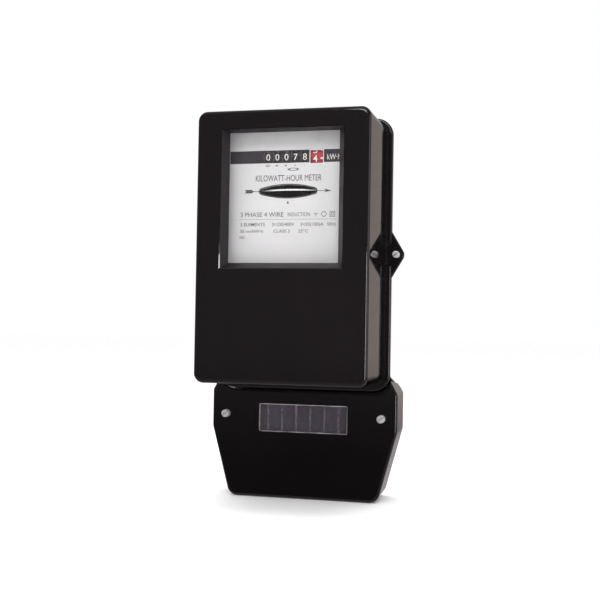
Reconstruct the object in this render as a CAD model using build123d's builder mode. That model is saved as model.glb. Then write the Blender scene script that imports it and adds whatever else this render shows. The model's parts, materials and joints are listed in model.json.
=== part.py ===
"""Three-phase induction kilowatt-hour meter with a drum register, as separate pieces.

Frame: X to the right, Y towards the wall, Z up, in millimetres. The origin is on the wall plane, on the
centreline, level with the lower edge of the main cover. Everything in front of the wall has a negative Y.
"""
import os
from math import cos, pi, radians, sin

from build123d import *

os.makedirs("parts", exist_ok=True)

# Case: a deep moulded cover on a shallow tray, joined at a flange with a sealing ear at each side
CASE_WIDTH = 135.0
CASE_HEIGHT = 208.0
FULL_DEPTH = 124.0
CASE_CORNER = 7.5
CASE_EDGE = 3.5
WALL = 3.2
COVER_FRONT = -FULL_DEPTH
COVER_REAR = -46.0
FLANGE_HALF_WIDTH = 72.0
FLANGE_HEIGHT = 220.0
FLANGE_MID = 103.0
FLANGE_CORNER = 13.5
FLANGE_THICK = 5.0
FLANGE_EDGE = 1.6
GASKET_THICK = 1.0
TRAY_FLANGE_REAR = COVER_REAR + GASKET_THICK + FLANGE_THICK
TRAY_FRONT_WIDTH = 129.0
TRAY_FRONT_HEIGHT = 212.0
TRAY_REAR_WIDTH = 124.0
TRAY_REAR_HEIGHT = 207.0
TRAY_CORNER = 9.0
TRAY_FLANGE_INSET = 1.3
TRAY_FLOOR = 3.0

# Sealing ears and the screws that close the covers
EAR_SCREW_X = 76.0
EAR_RADIUS = 6.0
EAR_HALF_HEIGHT = 18.5
SEAL_SHANK_R = 1.5
SEAL_HEAD_R = 3.1
EAR_HEAD_R = 2.7
SEAL_KNOB_HEIGHT = 2.6
SEAL_SLOT = 0.9
RUNNING = 0.05
INSERT_R = 2.6

# The seat of the ear screws is sunk below the flange's front face, between two 45 degree ramps
EAR_SINK = 1.5
EAR_SINK_HALF = 8.0
EAR_EDGE = 1.2
EAR_SHANK = 8.5
POST_SHANK = 24.0

# A sealing screw's head: a collar a little wider than the knob, a drilled neck for the seal wire,
# and a slotted knob
SEAL_COLLAR = (0.1, 0.9)
SEAL_NECK = (2.1, 1.7)
SEAL_WIRE_R = 0.5
SEAL_SLOT_DEPTH = 1.3
SEAL_SLOT_ANGLE = 35.0

# Window in the main cover
WINDOW_OUTER = (96.0, 106.1)
WINDOW_OUTER_Z = 140.45
WINDOW_INNER = (86.0, 99.5)
WINDOW_INNER_Z = 141.75
WINDOW_DEPTH = 7.0
GLASS_THICK = 2.5
GLASS_MARGIN = 4.0
COLLAR_WALL = 3.0
WINDOW_EDGE = 0.6
GLASS_FRONT = COVER_FRONT + WINDOW_DEPTH

# Dial plate and register
DIAL_FRONT = -104.0
DIAL_THICK = 0.8
DIAL_SIZE = (104.0, 110.0)
DIAL_Z = 141.0
DIAL_SCREWS_UPPER = (23.0, 186.5)
DIAL_SCREWS_LOWER = (49.0, 94.0)
DISC_SLOT_WIDTH = 42.5
DISC_SLOT_HEIGHT = 9.6
DISC_SLOT_END = 1.6
DISC_SLOT_BULGE = 1.2
DISC_SLOT_DROP = 1.2
DIAL_SCREW_HEAD = (1.8, 0.9)
DRUM_Z = 174.8
DRUM_RADIUS = 10.5
DRUM_PITCH = 7.3
DRUM_RIM = 5.0
FIRST_DRUM_X = -16.6
TENTHS_RIM = (17.4, 27.2)
DRUM_WINDOW = (5.4, 8.4)
TENTHS_WINDOW = (10.0, 9.8)
TENTHS_WINDOW_DROP = 0.5
AXLE_R = 1.5
THIN_AXLE_R = 1.0
SIDE_GEAR_WIDTH = 1.05
SIDE_GEAR_MODULE = 0.9
SIDE_GEAR_TEETH = 20
PINION_TEETH = 8
PINION_WIDTH = 2.0
PINION_ANGLE = -45.0
GEAR_MODULE = 0.45
DRUM_GEAR_TEETH = 42
ARBOR_GEAR_TEETH = 56
GEAR_WIDTH = 1.5
GEAR_LEFT = 27.8
WHEEL_MODULE = 0.5
WHEEL_TEETH = 40
WORM_PITCH_R = 2.6
WORM_ROOT_R = 2.0
WORM_TURNS = 4
WORM_FLANK = 0.9
REGISTER_LEFT = -24.0
REGISTER_RIGHT = 34.5
REGISTER_SHEET = 1.5
REGISTER_BOTTOM = 159.0
REGISTER_TOP = 191.5
BRIDGE_REAR = -62.0
ARM_REAR = -92.0
TAB_BOTTOM = 184.0
DIAL_SCREW_R = 1.0

DIAL_REAR = DIAL_FRONT + DIAL_THICK
DRUM_Y = DIAL_REAR + 0.4 + DRUM_RADIUS
ARBOR_Y = DRUM_Y + GEAR_MODULE * (DRUM_GEAR_TEETH + ARBOR_GEAR_TEETH) / 2
ROTOR_Y = ARBOR_Y + WHEEL_MODULE * WHEEL_TEETH / 2 + WORM_PITCH_R
PINION_DISTANCE = SIDE_GEAR_MODULE * (SIDE_GEAR_TEETH + PINION_TEETH) / 2
PINION_Y = DRUM_Y + PINION_DISTANCE * cos(radians(PINION_ANGLE))
PINION_Z = DRUM_Z + PINION_DISTANCE * sin(radians(PINION_ANGLE))

# Angles at which the teeth stand in mesh
ARBOR_PHASE = 180.0
DRUM_GEAR_PHASE = 180.0 / DRUM_GEAR_TEETH
PINION_PHASE = PINION_ANGLE + 180.0 + 180.0 / PINION_TEETH
CARRY_ANGLES = (126.0, 144.0)
SIDE_GEAR_ROOT = SIDE_GEAR_MODULE * SIDE_GEAR_TEETH / 2 - 1.0
WORM_THREAD = pi * WHEEL_MODULE
WORM_HEIGHT = WORM_THREAD * (WORM_TURNS + 2)

# Rotor
SHAFT_R = 1.5
SHAFT_BOTTOM = 24.0
SHAFT_TOP = 194.0
DISC_RADIUS = 45.0
DISC_THICK = 1.2
UPPER_DISC_Z = 149.3
DISC_SLOT_Z = UPPER_DISC_Z - DISC_SLOT_DROP
LOWER_DISC_Z = 70.0
DISC_GAP = 1.3
BEARING_R = 4.0
BEARING_REACH = 4.0
HUB_R = 4.5
HUB_HALF_HEIGHT = 4.0

# Driving elements: a voltage core above each disc position and a current core below it
STACK = 11.0
VOLTAGE_CORE = (46.0, 40.0)
CURRENT_CORE = (40.0, 26.0)
SIDE_ELEMENT_X = 36.0
REAR_ELEMENT_Y = -27.5
VOLTAGE_WINDOW = (12.0, 27.0)
VOLTAGE_WINDOW_X = 11.0
VOLTAGE_WINDOW_Z = 18.5
POLE_SLIT = (1.5, 5.0)
POLE_SLIT_X = 5.75
CURRENT_WINDOW = (22.0, 18.0)
VOLTAGE_SCREW = (20.0, 36.0)
CURRENT_SCREW = (15.5, 22.0)
COIL_CORNER = 4.0
VOLTAGE_COIL = (31.0, 27.0, 23.0)
VOLTAGE_LIMB = 10.0
VOLTAGE_COIL_LIFT = 7.0
CURRENT_COIL = (17.0, 19.0, 12.0)
CURRENT_LIMB = 9.0
CURRENT_COIL_DROP = 16.0

# Screws inside the case, all of one size
CORE_HOLE_R = SHAFT_R + 0.1
SCREW_DEPTH = 6.0
HEAD_R = 2.8
HEAD_HEIGHT = 1.8
SLOT_WIDTH = 0.8
SLOT_DEPTH = 1.0

# Mechanism frame
CHEEK_INNER = 54.0
CHEEK_OUTER = 57.0
FRAME_BOTTOM = 14.0
FRAME_TOP = 201.0
BAR_HEIGHT = 6.0
FRAME_REAR = -8.0
FRAME_BACK_FRONT = -11.0
FRAME_FRONT = -100.0
FRAME_PLATE_TOP = 192.0
FRAME_SCREWS = (45.0, 135.0, 97.5)
FRAME_WINDOW_CORNER = 4.0
CHEEK_WINDOW_Y = -58.0
CHEEK_WINDOW_WIDTH = 68.0
CHEEK_WINDOWS = ((31.0, 14.0), (78.0, 38.0), (123.0, 14.0), (178.0, 20.0))
BACK_WINDOWS = ((75.0, 70.0, 70.0), (137.0, 26.0, 20.0))
HANGER_NOTCH = (28.0, 20.0, 184.0)

# Brake magnets, astride the rim of the upper disc
MAGNET_X = (35.0, CHEEK_INNER)
MAGNET_SLOT = (46.8, 4.4)
MAGNET_HEIGHT = 26.0
MAGNET_WIDTH = 22.0
MAGNET_EDGE = 1.2
MAGNET_SCREW = (6.0, 8.0)

# Hanger plate at the back of the tray
HANGER_Z = 191.0
HANGER_SIZE = (38.0, 26.0)
HANGER_SHEET = 1.5
HANGER_POCKET = (18.0, 24.0)
HANGER_POCKET_DEPTH = 9.0
HANGER_RIVET_X = 15.0
HANGER_RIVET_HEAD = (2.6, 1.2)
HANGER_HEAD_HOLE = (5.0, 186.0)
HANGER_NECK = (2.6, 197.0)

# Moulded pockets in the back: size, pitch, height of the lowest row, and depth
BOSS_FRONT = FRAME_REAR
BOSS_R = 4.0
POCKET_CORNER = 2.5
REAR_POCKET = (24.0, 34.0)
REAR_POCKET_PITCH = (28.0, 38.5)
REAR_POCKET_Z = 32.0
REAR_POCKET_DEPTH = 1.0
PLATE_POCKET = (24.0, 26.0)
PLATE_POCKET_PITCH = (28.0, 30.0)
PLATE_POCKET_Z = -28.0
PLATE_POCKET_DEPTH = 3.0

# Terminal chamber
TERMINAL_FRONT = -46.6
TERMINAL_REAR = -2.0
TERMINAL_WALL = 2.8
TERMINAL_DRAFT = 2.5
TERMINAL_EDGE = 2.6
TERMINAL_HALF_WIDTH = 78.0
TERMINAL_SHOULDER_Z = -9.5
TERMINAL_SHOULDER_CORNER = 4.0
TERMINAL_WAIST_Z = -40.0
TERMINAL_WAIST_CORNER = 14.0
TERMINAL_FOOT_HALF_WIDTH = 62.5
TERMINAL_FOOT_CORNER = 9.5
TERMINAL_BOTTOM = -97.4
SHOULDER_ARC = 70.0
SHOULDER_GAP = 1.0
CHAMBER_TOP = -11.3
CHAMBER_HALF_WIDTH = 75.1
PLATE_HALF_WIDTH = 72.2
CABLE_SLOT_HALF = 50.0
TERMINAL_PITCH = 11.9
TERMINAL_COUNT = 8
BLOCK_HALF_WIDTH = 52.0
BLOCK_FRONT = -26.0
BLOCK_BOTTOM = -52.0
BLOCK_TOP = -3.0
PLATE_THICK = 6.0
RIB = (1.4, 40.0, 4.0)
RIB_Z = -30.0
CLAMP_SHANK_R = 2.0
CLAMP_HEAD_R = 3.0
CLAMP_WELL_R = 3.4
CLAMP_SLOT = 1.0
CABLE_R = 4.2
CABLE_Y = -14.0
SLEEVE_SIDE = 10.0
SLEEVE_BOTTOM = -50.0
SLEEVE_TOP = -16.0
CLAMP_SCREW_Z = (-24.0, -40.0)
POST = (65.3, -29.0)
POST_FRONT = -34.0
POST_R = 5.0
FIXING_X = 52.5
FIXING_Z = -72.0
FIXING_R = 2.75
TERMINAL_WINDOW = (74.6, 23.0)
TERMINAL_WINDOW_Z = -31.5
TERMINAL_WINDOW_RECESS = 1.2
TERMINAL_WINDOW_LIP = 1.2


def facing(y):
    """The plane at this y as seen from the front: its x is X, its y is Z, and it faces forward."""
    return Plane.XZ.offset(-y)


def sideways(x):
    """The plane at this x: its x is Y, its y is Z, and it faces right."""
    return Plane.YZ.offset(x)


def gear_outline(teeth, module, phase, bore):
    """A gear with straight-flanked teeth, one of them centred at the angle phase."""
    half_pitch = pi * module / 2
    root, tip = 1.0 * module, 0.8 * module
    with BuildSketch() as outline:
        Circle(module * teeth / 2 - root)
        with PolarLocations(module * teeth / 2, teeth, start_angle=phase):
            Polygon(
                (-1.3 * root, -0.62 * half_pitch),
                (0, -0.40 * half_pitch),
                (tip, -0.22 * half_pitch),
                (tip, 0.22 * half_pitch),
                (0, 0.40 * half_pitch),
                (-1.3 * root, 0.62 * half_pitch),
                align=None,
            )
        Circle(bore, mode=Mode.SUBTRACT)
    return outline.sketch


# ------------------------------------------------------------------ case

def ears_outline(inset):
    """The two ears, taken in by inset all round."""
    with BuildSketch() as right_ear:
        with Locations((EAR_SCREW_X, FLANGE_MID)):
            Circle(EAR_RADIUS - inset)
        with Locations((FLANGE_HALF_WIDTH - inset - 2, FLANGE_MID)):
            Rectangle(4, 2 * (EAR_HALF_HEIGHT - inset))
        make_hull()
    with BuildSketch() as ears:
        add(right_ear.sketch)
        mirror(about=Plane.YZ)
    return ears.sketch


def flange_outline(inset):
    """The rounded rectangle of the flange round the case, taken in by inset all round."""
    with BuildSketch() as flange:
        with Locations((0, FLANGE_MID)):
            RectangleRounded(
                2 * (FLANGE_HALF_WIDTH - inset), FLANGE_HEIGHT - 2 * inset, FLANGE_CORNER - inset
            )
    return flange.sketch


with BuildSketch() as terminal_outline:
    arc_centre = (FLANGE_HALF_WIDTH - FLANGE_CORNER, FLANGE_MID - FLANGE_HEIGHT / 2 + FLANGE_CORNER)
    arc_radius = FLANGE_CORNER + SHOULDER_GAP
    with BuildLine():
        Line((0, arc_centre[1] - arc_radius), (arc_centre[0], arc_centre[1] - arc_radius))
        shoulder = CenterArc(arc_centre, arc_radius, -90, SHOULDER_ARC)
        Polyline(
            shoulder @ 1,
            (TERMINAL_HALF_WIDTH, TERMINAL_SHOULDER_Z),
            (TERMINAL_HALF_WIDTH, TERMINAL_WAIST_Z),
            (TERMINAL_FOOT_HALF_WIDTH, TERMINAL_BOTTOM),
            (0, TERMINAL_BOTTOM),
        )
        mirror(about=Plane.YZ)
    make_face()
    for level, corner in (
        (TERMINAL_BOTTOM, TERMINAL_FOOT_CORNER),
        (TERMINAL_WAIST_Z, TERMINAL_WAIST_CORNER),
        (TERMINAL_SHOULDER_Z, TERMINAL_SHOULDER_CORNER),
    ):
        at_level = terminal_outline.vertices().filter_by(lambda v: abs(v.Y - level) < 0.1 and abs(v.X) > 1)
        fillet(at_level, radius=corner)

with BuildSketch() as chamber_outline:
    with BuildLine():
        Polyline(
            (0, CHAMBER_TOP),
            (CHAMBER_HALF_WIDTH - 4.1, CHAMBER_TOP),
            (CHAMBER_HALF_WIDTH, CHAMBER_TOP - 3.7),
            (CHAMBER_HALF_WIDTH, TERMINAL_WAIST_Z - 0.6),
            (TERMINAL_FOOT_HALF_WIDTH - 2.5, TERMINAL_BOTTOM + TERMINAL_WALL),
            (0, TERMINAL_BOTTOM + TERMINAL_WALL),
        )
        mirror(about=Plane.YZ)
    make_face()

with BuildPart() as cover_ears:
    with BuildSketch(facing(COVER_REAR)):
        add(ears_outline(0))
    extrude(amount=FLANGE_THICK - EAR_SINK)
    ear_fronts = cover_ears.faces().filter_by(Axis.Y).group_by(Axis.Y)[0]
    fillet(ear_fronts.edges().filter_by(lambda e: abs(e.center().X) > FLANGE_HALF_WIDTH), radius=EAR_EDGE)

with BuildPart() as main_cover:
    with BuildSketch(facing(COVER_REAR)):
        with Locations((0, CASE_HEIGHT / 2)):
            RectangleRounded(CASE_WIDTH, CASE_HEIGHT, CASE_CORNER)
    extrude(amount=COVER_REAR - COVER_FRONT)
    fillet(main_cover.faces().sort_by(Axis.Y)[0].edges(), radius=CASE_EDGE)
    with BuildSketch(facing(COVER_REAR)):
        add(flange_outline(0))
    extrude(amount=FLANGE_THICK)
    flange_front = main_cover.faces().filter_by(Axis.Y).filter_by(
        lambda face: abs(face.center().Y - (COVER_REAR - FLANGE_THICK)) < 0.01
    )
    fillet(flange_front.sort_by(Axis.Y)[0].outer_wire().edges(), radius=FLANGE_EDGE)
    add(cover_ears.part)
    sink_depth = COVER_REAR - FLANGE_THICK + EAR_SINK
    for side in (-1, 1):
        with BuildSketch(sideways(side * CASE_WIDTH / 2)):
            Polygon(
                (sink_depth, FLANGE_MID - EAR_SINK_HALF),
                (sink_depth, FLANGE_MID + EAR_SINK_HALF),
                (sink_depth - 2 * EAR_SINK, FLANGE_MID + EAR_SINK_HALF + 2 * EAR_SINK),
                (sink_depth - 2 * EAR_SINK, FLANGE_MID - EAR_SINK_HALF - 2 * EAR_SINK),
                align=None,
            )
        extrude(amount=side * 2 * EAR_RADIUS, mode=Mode.SUBTRACT)
    with BuildSketch(facing(COVER_REAR)):
        with Locations((0, CASE_HEIGHT / 2)):
            RectangleRounded(CASE_WIDTH - 2 * WALL, CASE_HEIGHT - 2 * WALL, CASE_CORNER - WALL)
    extrude(amount=COVER_REAR - COVER_FRONT - WALL, mode=Mode.SUBTRACT)
    with BuildSketch(facing(GLASS_FRONT + GLASS_THICK)):
        with Locations((0, WINDOW_INNER_Z)):
            RectangleRounded(
                WINDOW_INNER[0] + 2 * (GLASS_MARGIN + COLLAR_WALL),
                WINDOW_INNER[1] + 2 * (GLASS_MARGIN + COLLAR_WALL),
                3,
            )
    extrude(amount=WINDOW_DEPTH + GLASS_THICK - 1)
    with BuildSketch(facing(COVER_FRONT)):
        with Locations((0, WINDOW_OUTER_Z)):
            Rectangle(*WINDOW_OUTER)
    with BuildSketch(facing(GLASS_FRONT)):
        with Locations((0, WINDOW_INNER_Z)):
            Rectangle(*WINDOW_INNER)
    loft(mode=Mode.SUBTRACT)
    edge_share = WINDOW_EDGE / WINDOW_DEPTH
    with BuildSketch(facing(COVER_FRONT)):
        with Locations((0, WINDOW_OUTER_Z)):
            Rectangle(WINDOW_OUTER[0] + WINDOW_EDGE, WINDOW_OUTER[1] + WINDOW_EDGE)
    with BuildSketch(facing(COVER_FRONT + WINDOW_EDGE)):
        with Locations((0, WINDOW_OUTER_Z + edge_share * (WINDOW_INNER_Z - WINDOW_OUTER_Z))):
            Rectangle(
                WINDOW_OUTER[0] + edge_share * (WINDOW_INNER[0] - WINDOW_OUTER[0]),
                WINDOW_OUTER[1] + edge_share * (WINDOW_INNER[1] - WINDOW_OUTER[1]),
            )
    loft(mode=Mode.SUBTRACT)
    with BuildSketch(facing(GLASS_FRONT + GLASS_THICK)):
        with Locations((0, WINDOW_INNER_Z)):
            Rectangle(WINDOW_INNER[0] + 2 * GLASS_MARGIN, WINDOW_INNER[1] + 2 * GLASS_MARGIN)
    extrude(amount=GLASS_THICK, mode=Mode.SUBTRACT)
    with BuildSketch(facing(COVER_REAR)):
        with Locations((-EAR_SCREW_X, FLANGE_MID), (EAR_SCREW_X, FLANGE_MID)):
            Circle(SEAL_SHANK_R + 0.3)
    extrude(amount=FLANGE_THICK + 1, mode=Mode.SUBTRACT)

with BuildPart() as window_glass:
    with BuildSketch(facing(GLASS_FRONT + GLASS_THICK)):
        with Locations((0, WINDOW_INNER_Z)):
            Rectangle(WINDOW_INNER[0] + 2 * GLASS_MARGIN, WINDOW_INNER[1] + 2 * GLASS_MARGIN)
    extrude(amount=GLASS_THICK)

with BuildPart() as base_gasket:
    with BuildSketch(facing(COVER_REAR + GASKET_THICK)):
        add(flange_outline(TRAY_FLANGE_INSET))
        with Locations((0, CASE_HEIGHT / 2)):
            RectangleRounded(CASE_WIDTH - 2 * WALL, CASE_HEIGHT - 2 * WALL, CASE_CORNER - WALL,
                             mode=Mode.SUBTRACT)
    extrude(amount=GASKET_THICK)

frame_screw_points = [
    (side * FRAME_SCREWS[0], FRAME_SCREWS[2] + end * FRAME_SCREWS[1] / 2)
    for side in (-1, 1)
    for end in (-1, 1)
]
terminal_xs = [(k - (TERMINAL_COUNT - 1) / 2) * TERMINAL_PITCH for k in range(TERMINAL_COUNT)]
clamp_points = [(x, z) for x in terminal_xs for z in CLAMP_SCREW_Z]

with BuildPart() as base_tray:
    with BuildSketch(facing(0)):
        with Locations((0, FLANGE_MID)):
            RectangleRounded(TRAY_REAR_WIDTH, TRAY_REAR_HEIGHT, TRAY_CORNER)
    with BuildSketch(facing(TRAY_FLANGE_REAR)):
        with Locations((0, FLANGE_MID)):
            RectangleRounded(TRAY_FRONT_WIDTH, TRAY_FRONT_HEIGHT, TRAY_CORNER)
    loft()
    with BuildSketch(facing(TRAY_FLANGE_REAR)):
        add(flange_outline(TRAY_FLANGE_INSET))
        add(ears_outline(TRAY_FLANGE_INSET))
    extrude(amount=FLANGE_THICK)
    with BuildSketch(facing(0)):
        with BuildLine():
            Polyline(
                (0, 8),
                (60, 8),
                (70, -3),
                (PLATE_HALF_WIDTH, TERMINAL_SHOULDER_Z),
                (PLATE_HALF_WIDTH, TERMINAL_WAIST_Z - 0.6),
                (TERMINAL_FOOT_HALF_WIDTH - 5.1, TERMINAL_BOTTOM + 5.9),
                (0, TERMINAL_BOTTOM + 5.9),
            )
            mirror(about=Plane.YZ)
        make_face()
    extrude(amount=PLATE_THICK)
    with BuildSketch(facing(-TRAY_FLOOR)):
        with Locations((0, FLANGE_MID)):
            RectangleRounded(TRAY_REAR_WIDTH - 2 * WALL, TRAY_REAR_HEIGHT - 2 * WALL, TRAY_CORNER - WALL)
    extrude(amount=FULL_DEPTH, mode=Mode.SUBTRACT)
    with BuildSketch(facing(-TRAY_FLOOR)):
        with Locations(*frame_screw_points):
            Circle(BOSS_R)
        with Locations((0, HANGER_Z)):
            Rectangle(HANGER_POCKET[0] + 5, HANGER_POCKET[1] + 4)
    extrude(amount=abs(BOSS_FRONT) - TRAY_FLOOR)
    with BuildSketch(facing(BOSS_FRONT)):
        with Locations((0, HANGER_Z)):
            Rectangle(HANGER_POCKET[0] + 5, HANGER_POCKET[1] + 4)
    extrude(amount=HANGER_POCKET_DEPTH + 3 + BOSS_FRONT)
    with BuildSketch(facing(0)):
        with Locations((0, HANGER_Z)):
            Rectangle(*HANGER_POCKET)
    extrude(amount=HANGER_POCKET_DEPTH, mode=Mode.SUBTRACT)
    with BuildSketch(facing(0)):
        with Locations((0, HANGER_Z)):
            Rectangle(*HANGER_SIZE)
    extrude(amount=HANGER_SHEET, mode=Mode.SUBTRACT)
    with BuildSketch(facing(0)):
        with Locations((-HANGER_RIVET_X, HANGER_Z), (HANGER_RIVET_X, HANGER_Z)):
            Circle(SHAFT_R)
        with Locations((-FIXING_X, FIXING_Z), (FIXING_X, FIXING_Z)):
            Circle(FIXING_R)
    extrude(amount=PLATE_THICK, mode=Mode.SUBTRACT)
    with BuildSketch(facing(BOSS_FRONT)):
        with Locations(*frame_screw_points):
            Circle(SHAFT_R)
    extrude(amount=BOSS_FRONT + 1.5, mode=Mode.SUBTRACT)
    with BuildSketch(facing(TRAY_FLANGE_REAR)):
        with Locations((-EAR_SCREW_X, FLANGE_MID), (EAR_SCREW_X, FLANGE_MID)):
            Circle(INSERT_R)
    extrude(amount=FLANGE_THICK, mode=Mode.SUBTRACT)
    with BuildSketch(facing(0)):
        for row in range(4):
            with Locations((0, REAR_POCKET_Z + row * REAR_POCKET_PITCH[1])):
                with GridLocations(REAR_POCKET_PITCH[0], 1, 4, 1):
                    RectangleRounded(*REAR_POCKET, POCKET_CORNER)
    extrude(amount=REAR_POCKET_DEPTH, mode=Mode.SUBTRACT)
    with BuildSketch(facing(0)):
        for row in range(2):
            with Locations((0, PLATE_POCKET_Z - row * PLATE_POCKET_PITCH[1])):
                with GridLocations(PLATE_POCKET_PITCH[0], 1, 4 - 2 * row, 1):
                    RectangleRounded(*PLATE_POCKET, POCKET_CORNER)
    extrude(amount=PLATE_POCKET_DEPTH, mode=Mode.SUBTRACT)
    with BuildSketch(facing(-PLATE_THICK)):
        with Locations((-POST[0], POST[1]), POST):
            Circle(POST_R)
            Circle(INSERT_R, mode=Mode.SUBTRACT)
    extrude(amount=-POST_FRONT - PLATE_THICK)

with BuildPart() as sealing_inserts:
    with BuildSketch(facing(TRAY_FLANGE_REAR)):
        with Locations((-EAR_SCREW_X, FLANGE_MID), (EAR_SCREW_X, FLANGE_MID)):
            Circle(INSERT_R)
            Circle(SEAL_SHANK_R + RUNNING, mode=Mode.SUBTRACT)
    extrude(amount=FLANGE_THICK)
    with BuildSketch(facing(-PLATE_THICK)):
        with Locations((-POST[0], POST[1]), POST):
            Circle(INSERT_R)
            Circle(SEAL_SHANK_R + RUNNING, mode=Mode.SUBTRACT)
    extrude(amount=-POST_FRONT - PLATE_THICK)

with BuildPart() as hanger_plate:
    with BuildSketch(facing(0)):
        with Locations((0, HANGER_Z)):
            Rectangle(*HANGER_SIZE)
        with Locations((0, HANGER_HEAD_HOLE[1])):
            Circle(HANGER_HEAD_HOLE[0], mode=Mode.SUBTRACT)
        with Locations((0, HANGER_NECK[1])):
            Circle(HANGER_NECK[0], mode=Mode.SUBTRACT)
        with Locations((0, (HANGER_HEAD_HOLE[1] + HANGER_NECK[1]) / 2)):
            Rectangle(2 * HANGER_NECK[0], HANGER_NECK[1] - HANGER_HEAD_HOLE[1], mode=Mode.SUBTRACT)
        with Locations((-HANGER_RIVET_X, HANGER_Z), (HANGER_RIVET_X, HANGER_Z)):
            Circle(SHAFT_R, mode=Mode.SUBTRACT)
    extrude(amount=HANGER_SHEET)

with BuildPart() as hanger_rivets:
    with BuildSketch(facing(0)):
        with Locations((-HANGER_RIVET_X, HANGER_Z), (HANGER_RIVET_X, HANGER_Z)):
            Circle(SHAFT_R)
    extrude(amount=TRAY_FLOOR)
    with BuildSketch(facing(-TRAY_FLOOR)):
        with Locations((-HANGER_RIVET_X, HANGER_Z), (HANGER_RIVET_X, HANGER_Z)):
            Circle(HANGER_RIVET_HEAD[0])
    extrude(amount=HANGER_RIVET_HEAD[1])

# ------------------------------------------------------------------ terminal chamber

with BuildPart() as terminal_cover:
    with BuildSketch(facing(TERMINAL_FRONT)):
        add(terminal_outline.sketch)
    extrude(amount=TERMINAL_FRONT - TERMINAL_REAR, taper=TERMINAL_DRAFT)
    fillet(terminal_cover.faces().sort_by(Axis.Y)[0].edges(), radius=TERMINAL_EDGE)
    with BuildSketch(facing(TERMINAL_FRONT + TERMINAL_WALL)):
        add(chamber_outline.sketch)
    extrude(amount=TERMINAL_FRONT + TERMINAL_WALL, taper=TERMINAL_DRAFT, mode=Mode.SUBTRACT)
    # room for the block, for the tray's plate, and for the cables at the bottom
    with Locations((0, -15, -10)):
        Box(2 * BLOCK_HALF_WIDTH + 3, 35, 12, mode=Mode.SUBTRACT)
    with Locations((0, -2.5, -7)):
        Box(2 * PLATE_HALF_WIDTH + 2, 9, 20, mode=Mode.SUBTRACT)
    with Locations((0, CABLE_Y, TERMINAL_BOTTOM + 1.4)):
        Box(2 * CABLE_SLOT_HALF, -2 * CABLE_Y, 8, mode=Mode.SUBTRACT)
    with BuildSketch(facing(TERMINAL_FRONT + TERMINAL_WALL)):
        with Locations((-POST[0], POST[1]), POST):
            Circle(POST_R)
    extrude(amount=-(POST_FRONT - 0.4 - TERMINAL_FRONT - TERMINAL_WALL))
    with BuildSketch(facing(0)):
        with Locations((-POST[0], POST[1]), POST):
            Circle(SEAL_SHANK_R + 0.3)
        with Locations((0, TERMINAL_WINDOW_Z)):
            RectangleRounded(*TERMINAL_WINDOW, 1)
    extrude(amount=60, mode=Mode.SUBTRACT)

with BuildPart() as terminal_window:
    with BuildSketch(facing(TERMINAL_FRONT + TERMINAL_WALL)):
        with Locations((0, TERMINAL_WINDOW_Z)):
            RectangleRounded(*TERMINAL_WINDOW, 1)
    extrude(amount=TERMINAL_WALL - TERMINAL_WINDOW_RECESS)
    with BuildSketch(facing(TERMINAL_FRONT + TERMINAL_WALL + TERMINAL_WINDOW_LIP)):
        with Locations((0, TERMINAL_WINDOW_Z)):
            RectangleRounded(TERMINAL_WINDOW[0] + 5, TERMINAL_WINDOW[1] + 5, 2)
    extrude(amount=TERMINAL_WINDOW_LIP)

with BuildPart() as terminal_block:
    with BuildSketch(facing(-PLATE_THICK)):
        with Locations((0, (BLOCK_TOP + BLOCK_BOTTOM) / 2)):
            Rectangle(2 * BLOCK_HALF_WIDTH, BLOCK_TOP - BLOCK_BOTTOM)
    extrude(amount=-BLOCK_FRONT - PLATE_THICK)
    with BuildSketch(facing(BLOCK_FRONT)):
        with Locations((0, RIB_Z)):
            with GridLocations(TERMINAL_PITCH, 1, TERMINAL_COUNT + 1, 1):
                Rectangle(RIB[0], RIB[1])
    extrude(amount=RIB[2])
    with BuildSketch(Plane.XY.offset(BLOCK_BOTTOM)):
        with Locations(*[(x, CABLE_Y) for x in terminal_xs]):
            Rectangle(SLEEVE_SIDE, SLEEVE_SIDE)
    extrude(amount=SLEEVE_TOP - BLOCK_BOTTOM, mode=Mode.SUBTRACT)
    with BuildSketch(facing(CABLE_Y - 4)):
        with Locations(*clamp_points):
            Circle(CLAMP_WELL_R)
    extrude(amount=20, mode=Mode.SUBTRACT)

with BuildPart() as terminal_sleeves:
    with BuildSketch(Plane.XY.offset(SLEEVE_BOTTOM)):
        with Locations(*[(x, CABLE_Y) for x in terminal_xs]):
            Rectangle(SLEEVE_SIDE, SLEEVE_SIDE)
            Circle(CABLE_R, mode=Mode.SUBTRACT)
    extrude(amount=SLEEVE_TOP - SLEEVE_BOTTOM)
    with BuildSketch(facing(CABLE_Y)):
        with Locations(*clamp_points):
            Circle(CLAMP_SHANK_R)
    extrude(amount=SLEEVE_SIDE, mode=Mode.SUBTRACT)

with BuildPart() as terminal_clamp_screws:
    with BuildSketch(facing(CABLE_Y - CABLE_R - 0.1)):
        with Locations(*clamp_points):
            Circle(CLAMP_SHANK_R)
    extrude(amount=SLEEVE_SIDE / 2 - CABLE_R - 0.1)
    with BuildSketch(facing(CABLE_Y - SLEEVE_SIDE / 2)):
        with Locations(*clamp_points):
            Circle(CLAMP_HEAD_R)
    extrude(amount=4)
    with BuildSketch(facing(CABLE_Y - SLEEVE_SIDE / 2 - 2.6)):
        with Locations(*clamp_points):
            Rectangle(2.2 * CLAMP_HEAD_R, CLAMP_SLOT)
    extrude(amount=3, mode=Mode.SUBTRACT)

# ------------------------------------------------------------------ sealing screws


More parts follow.
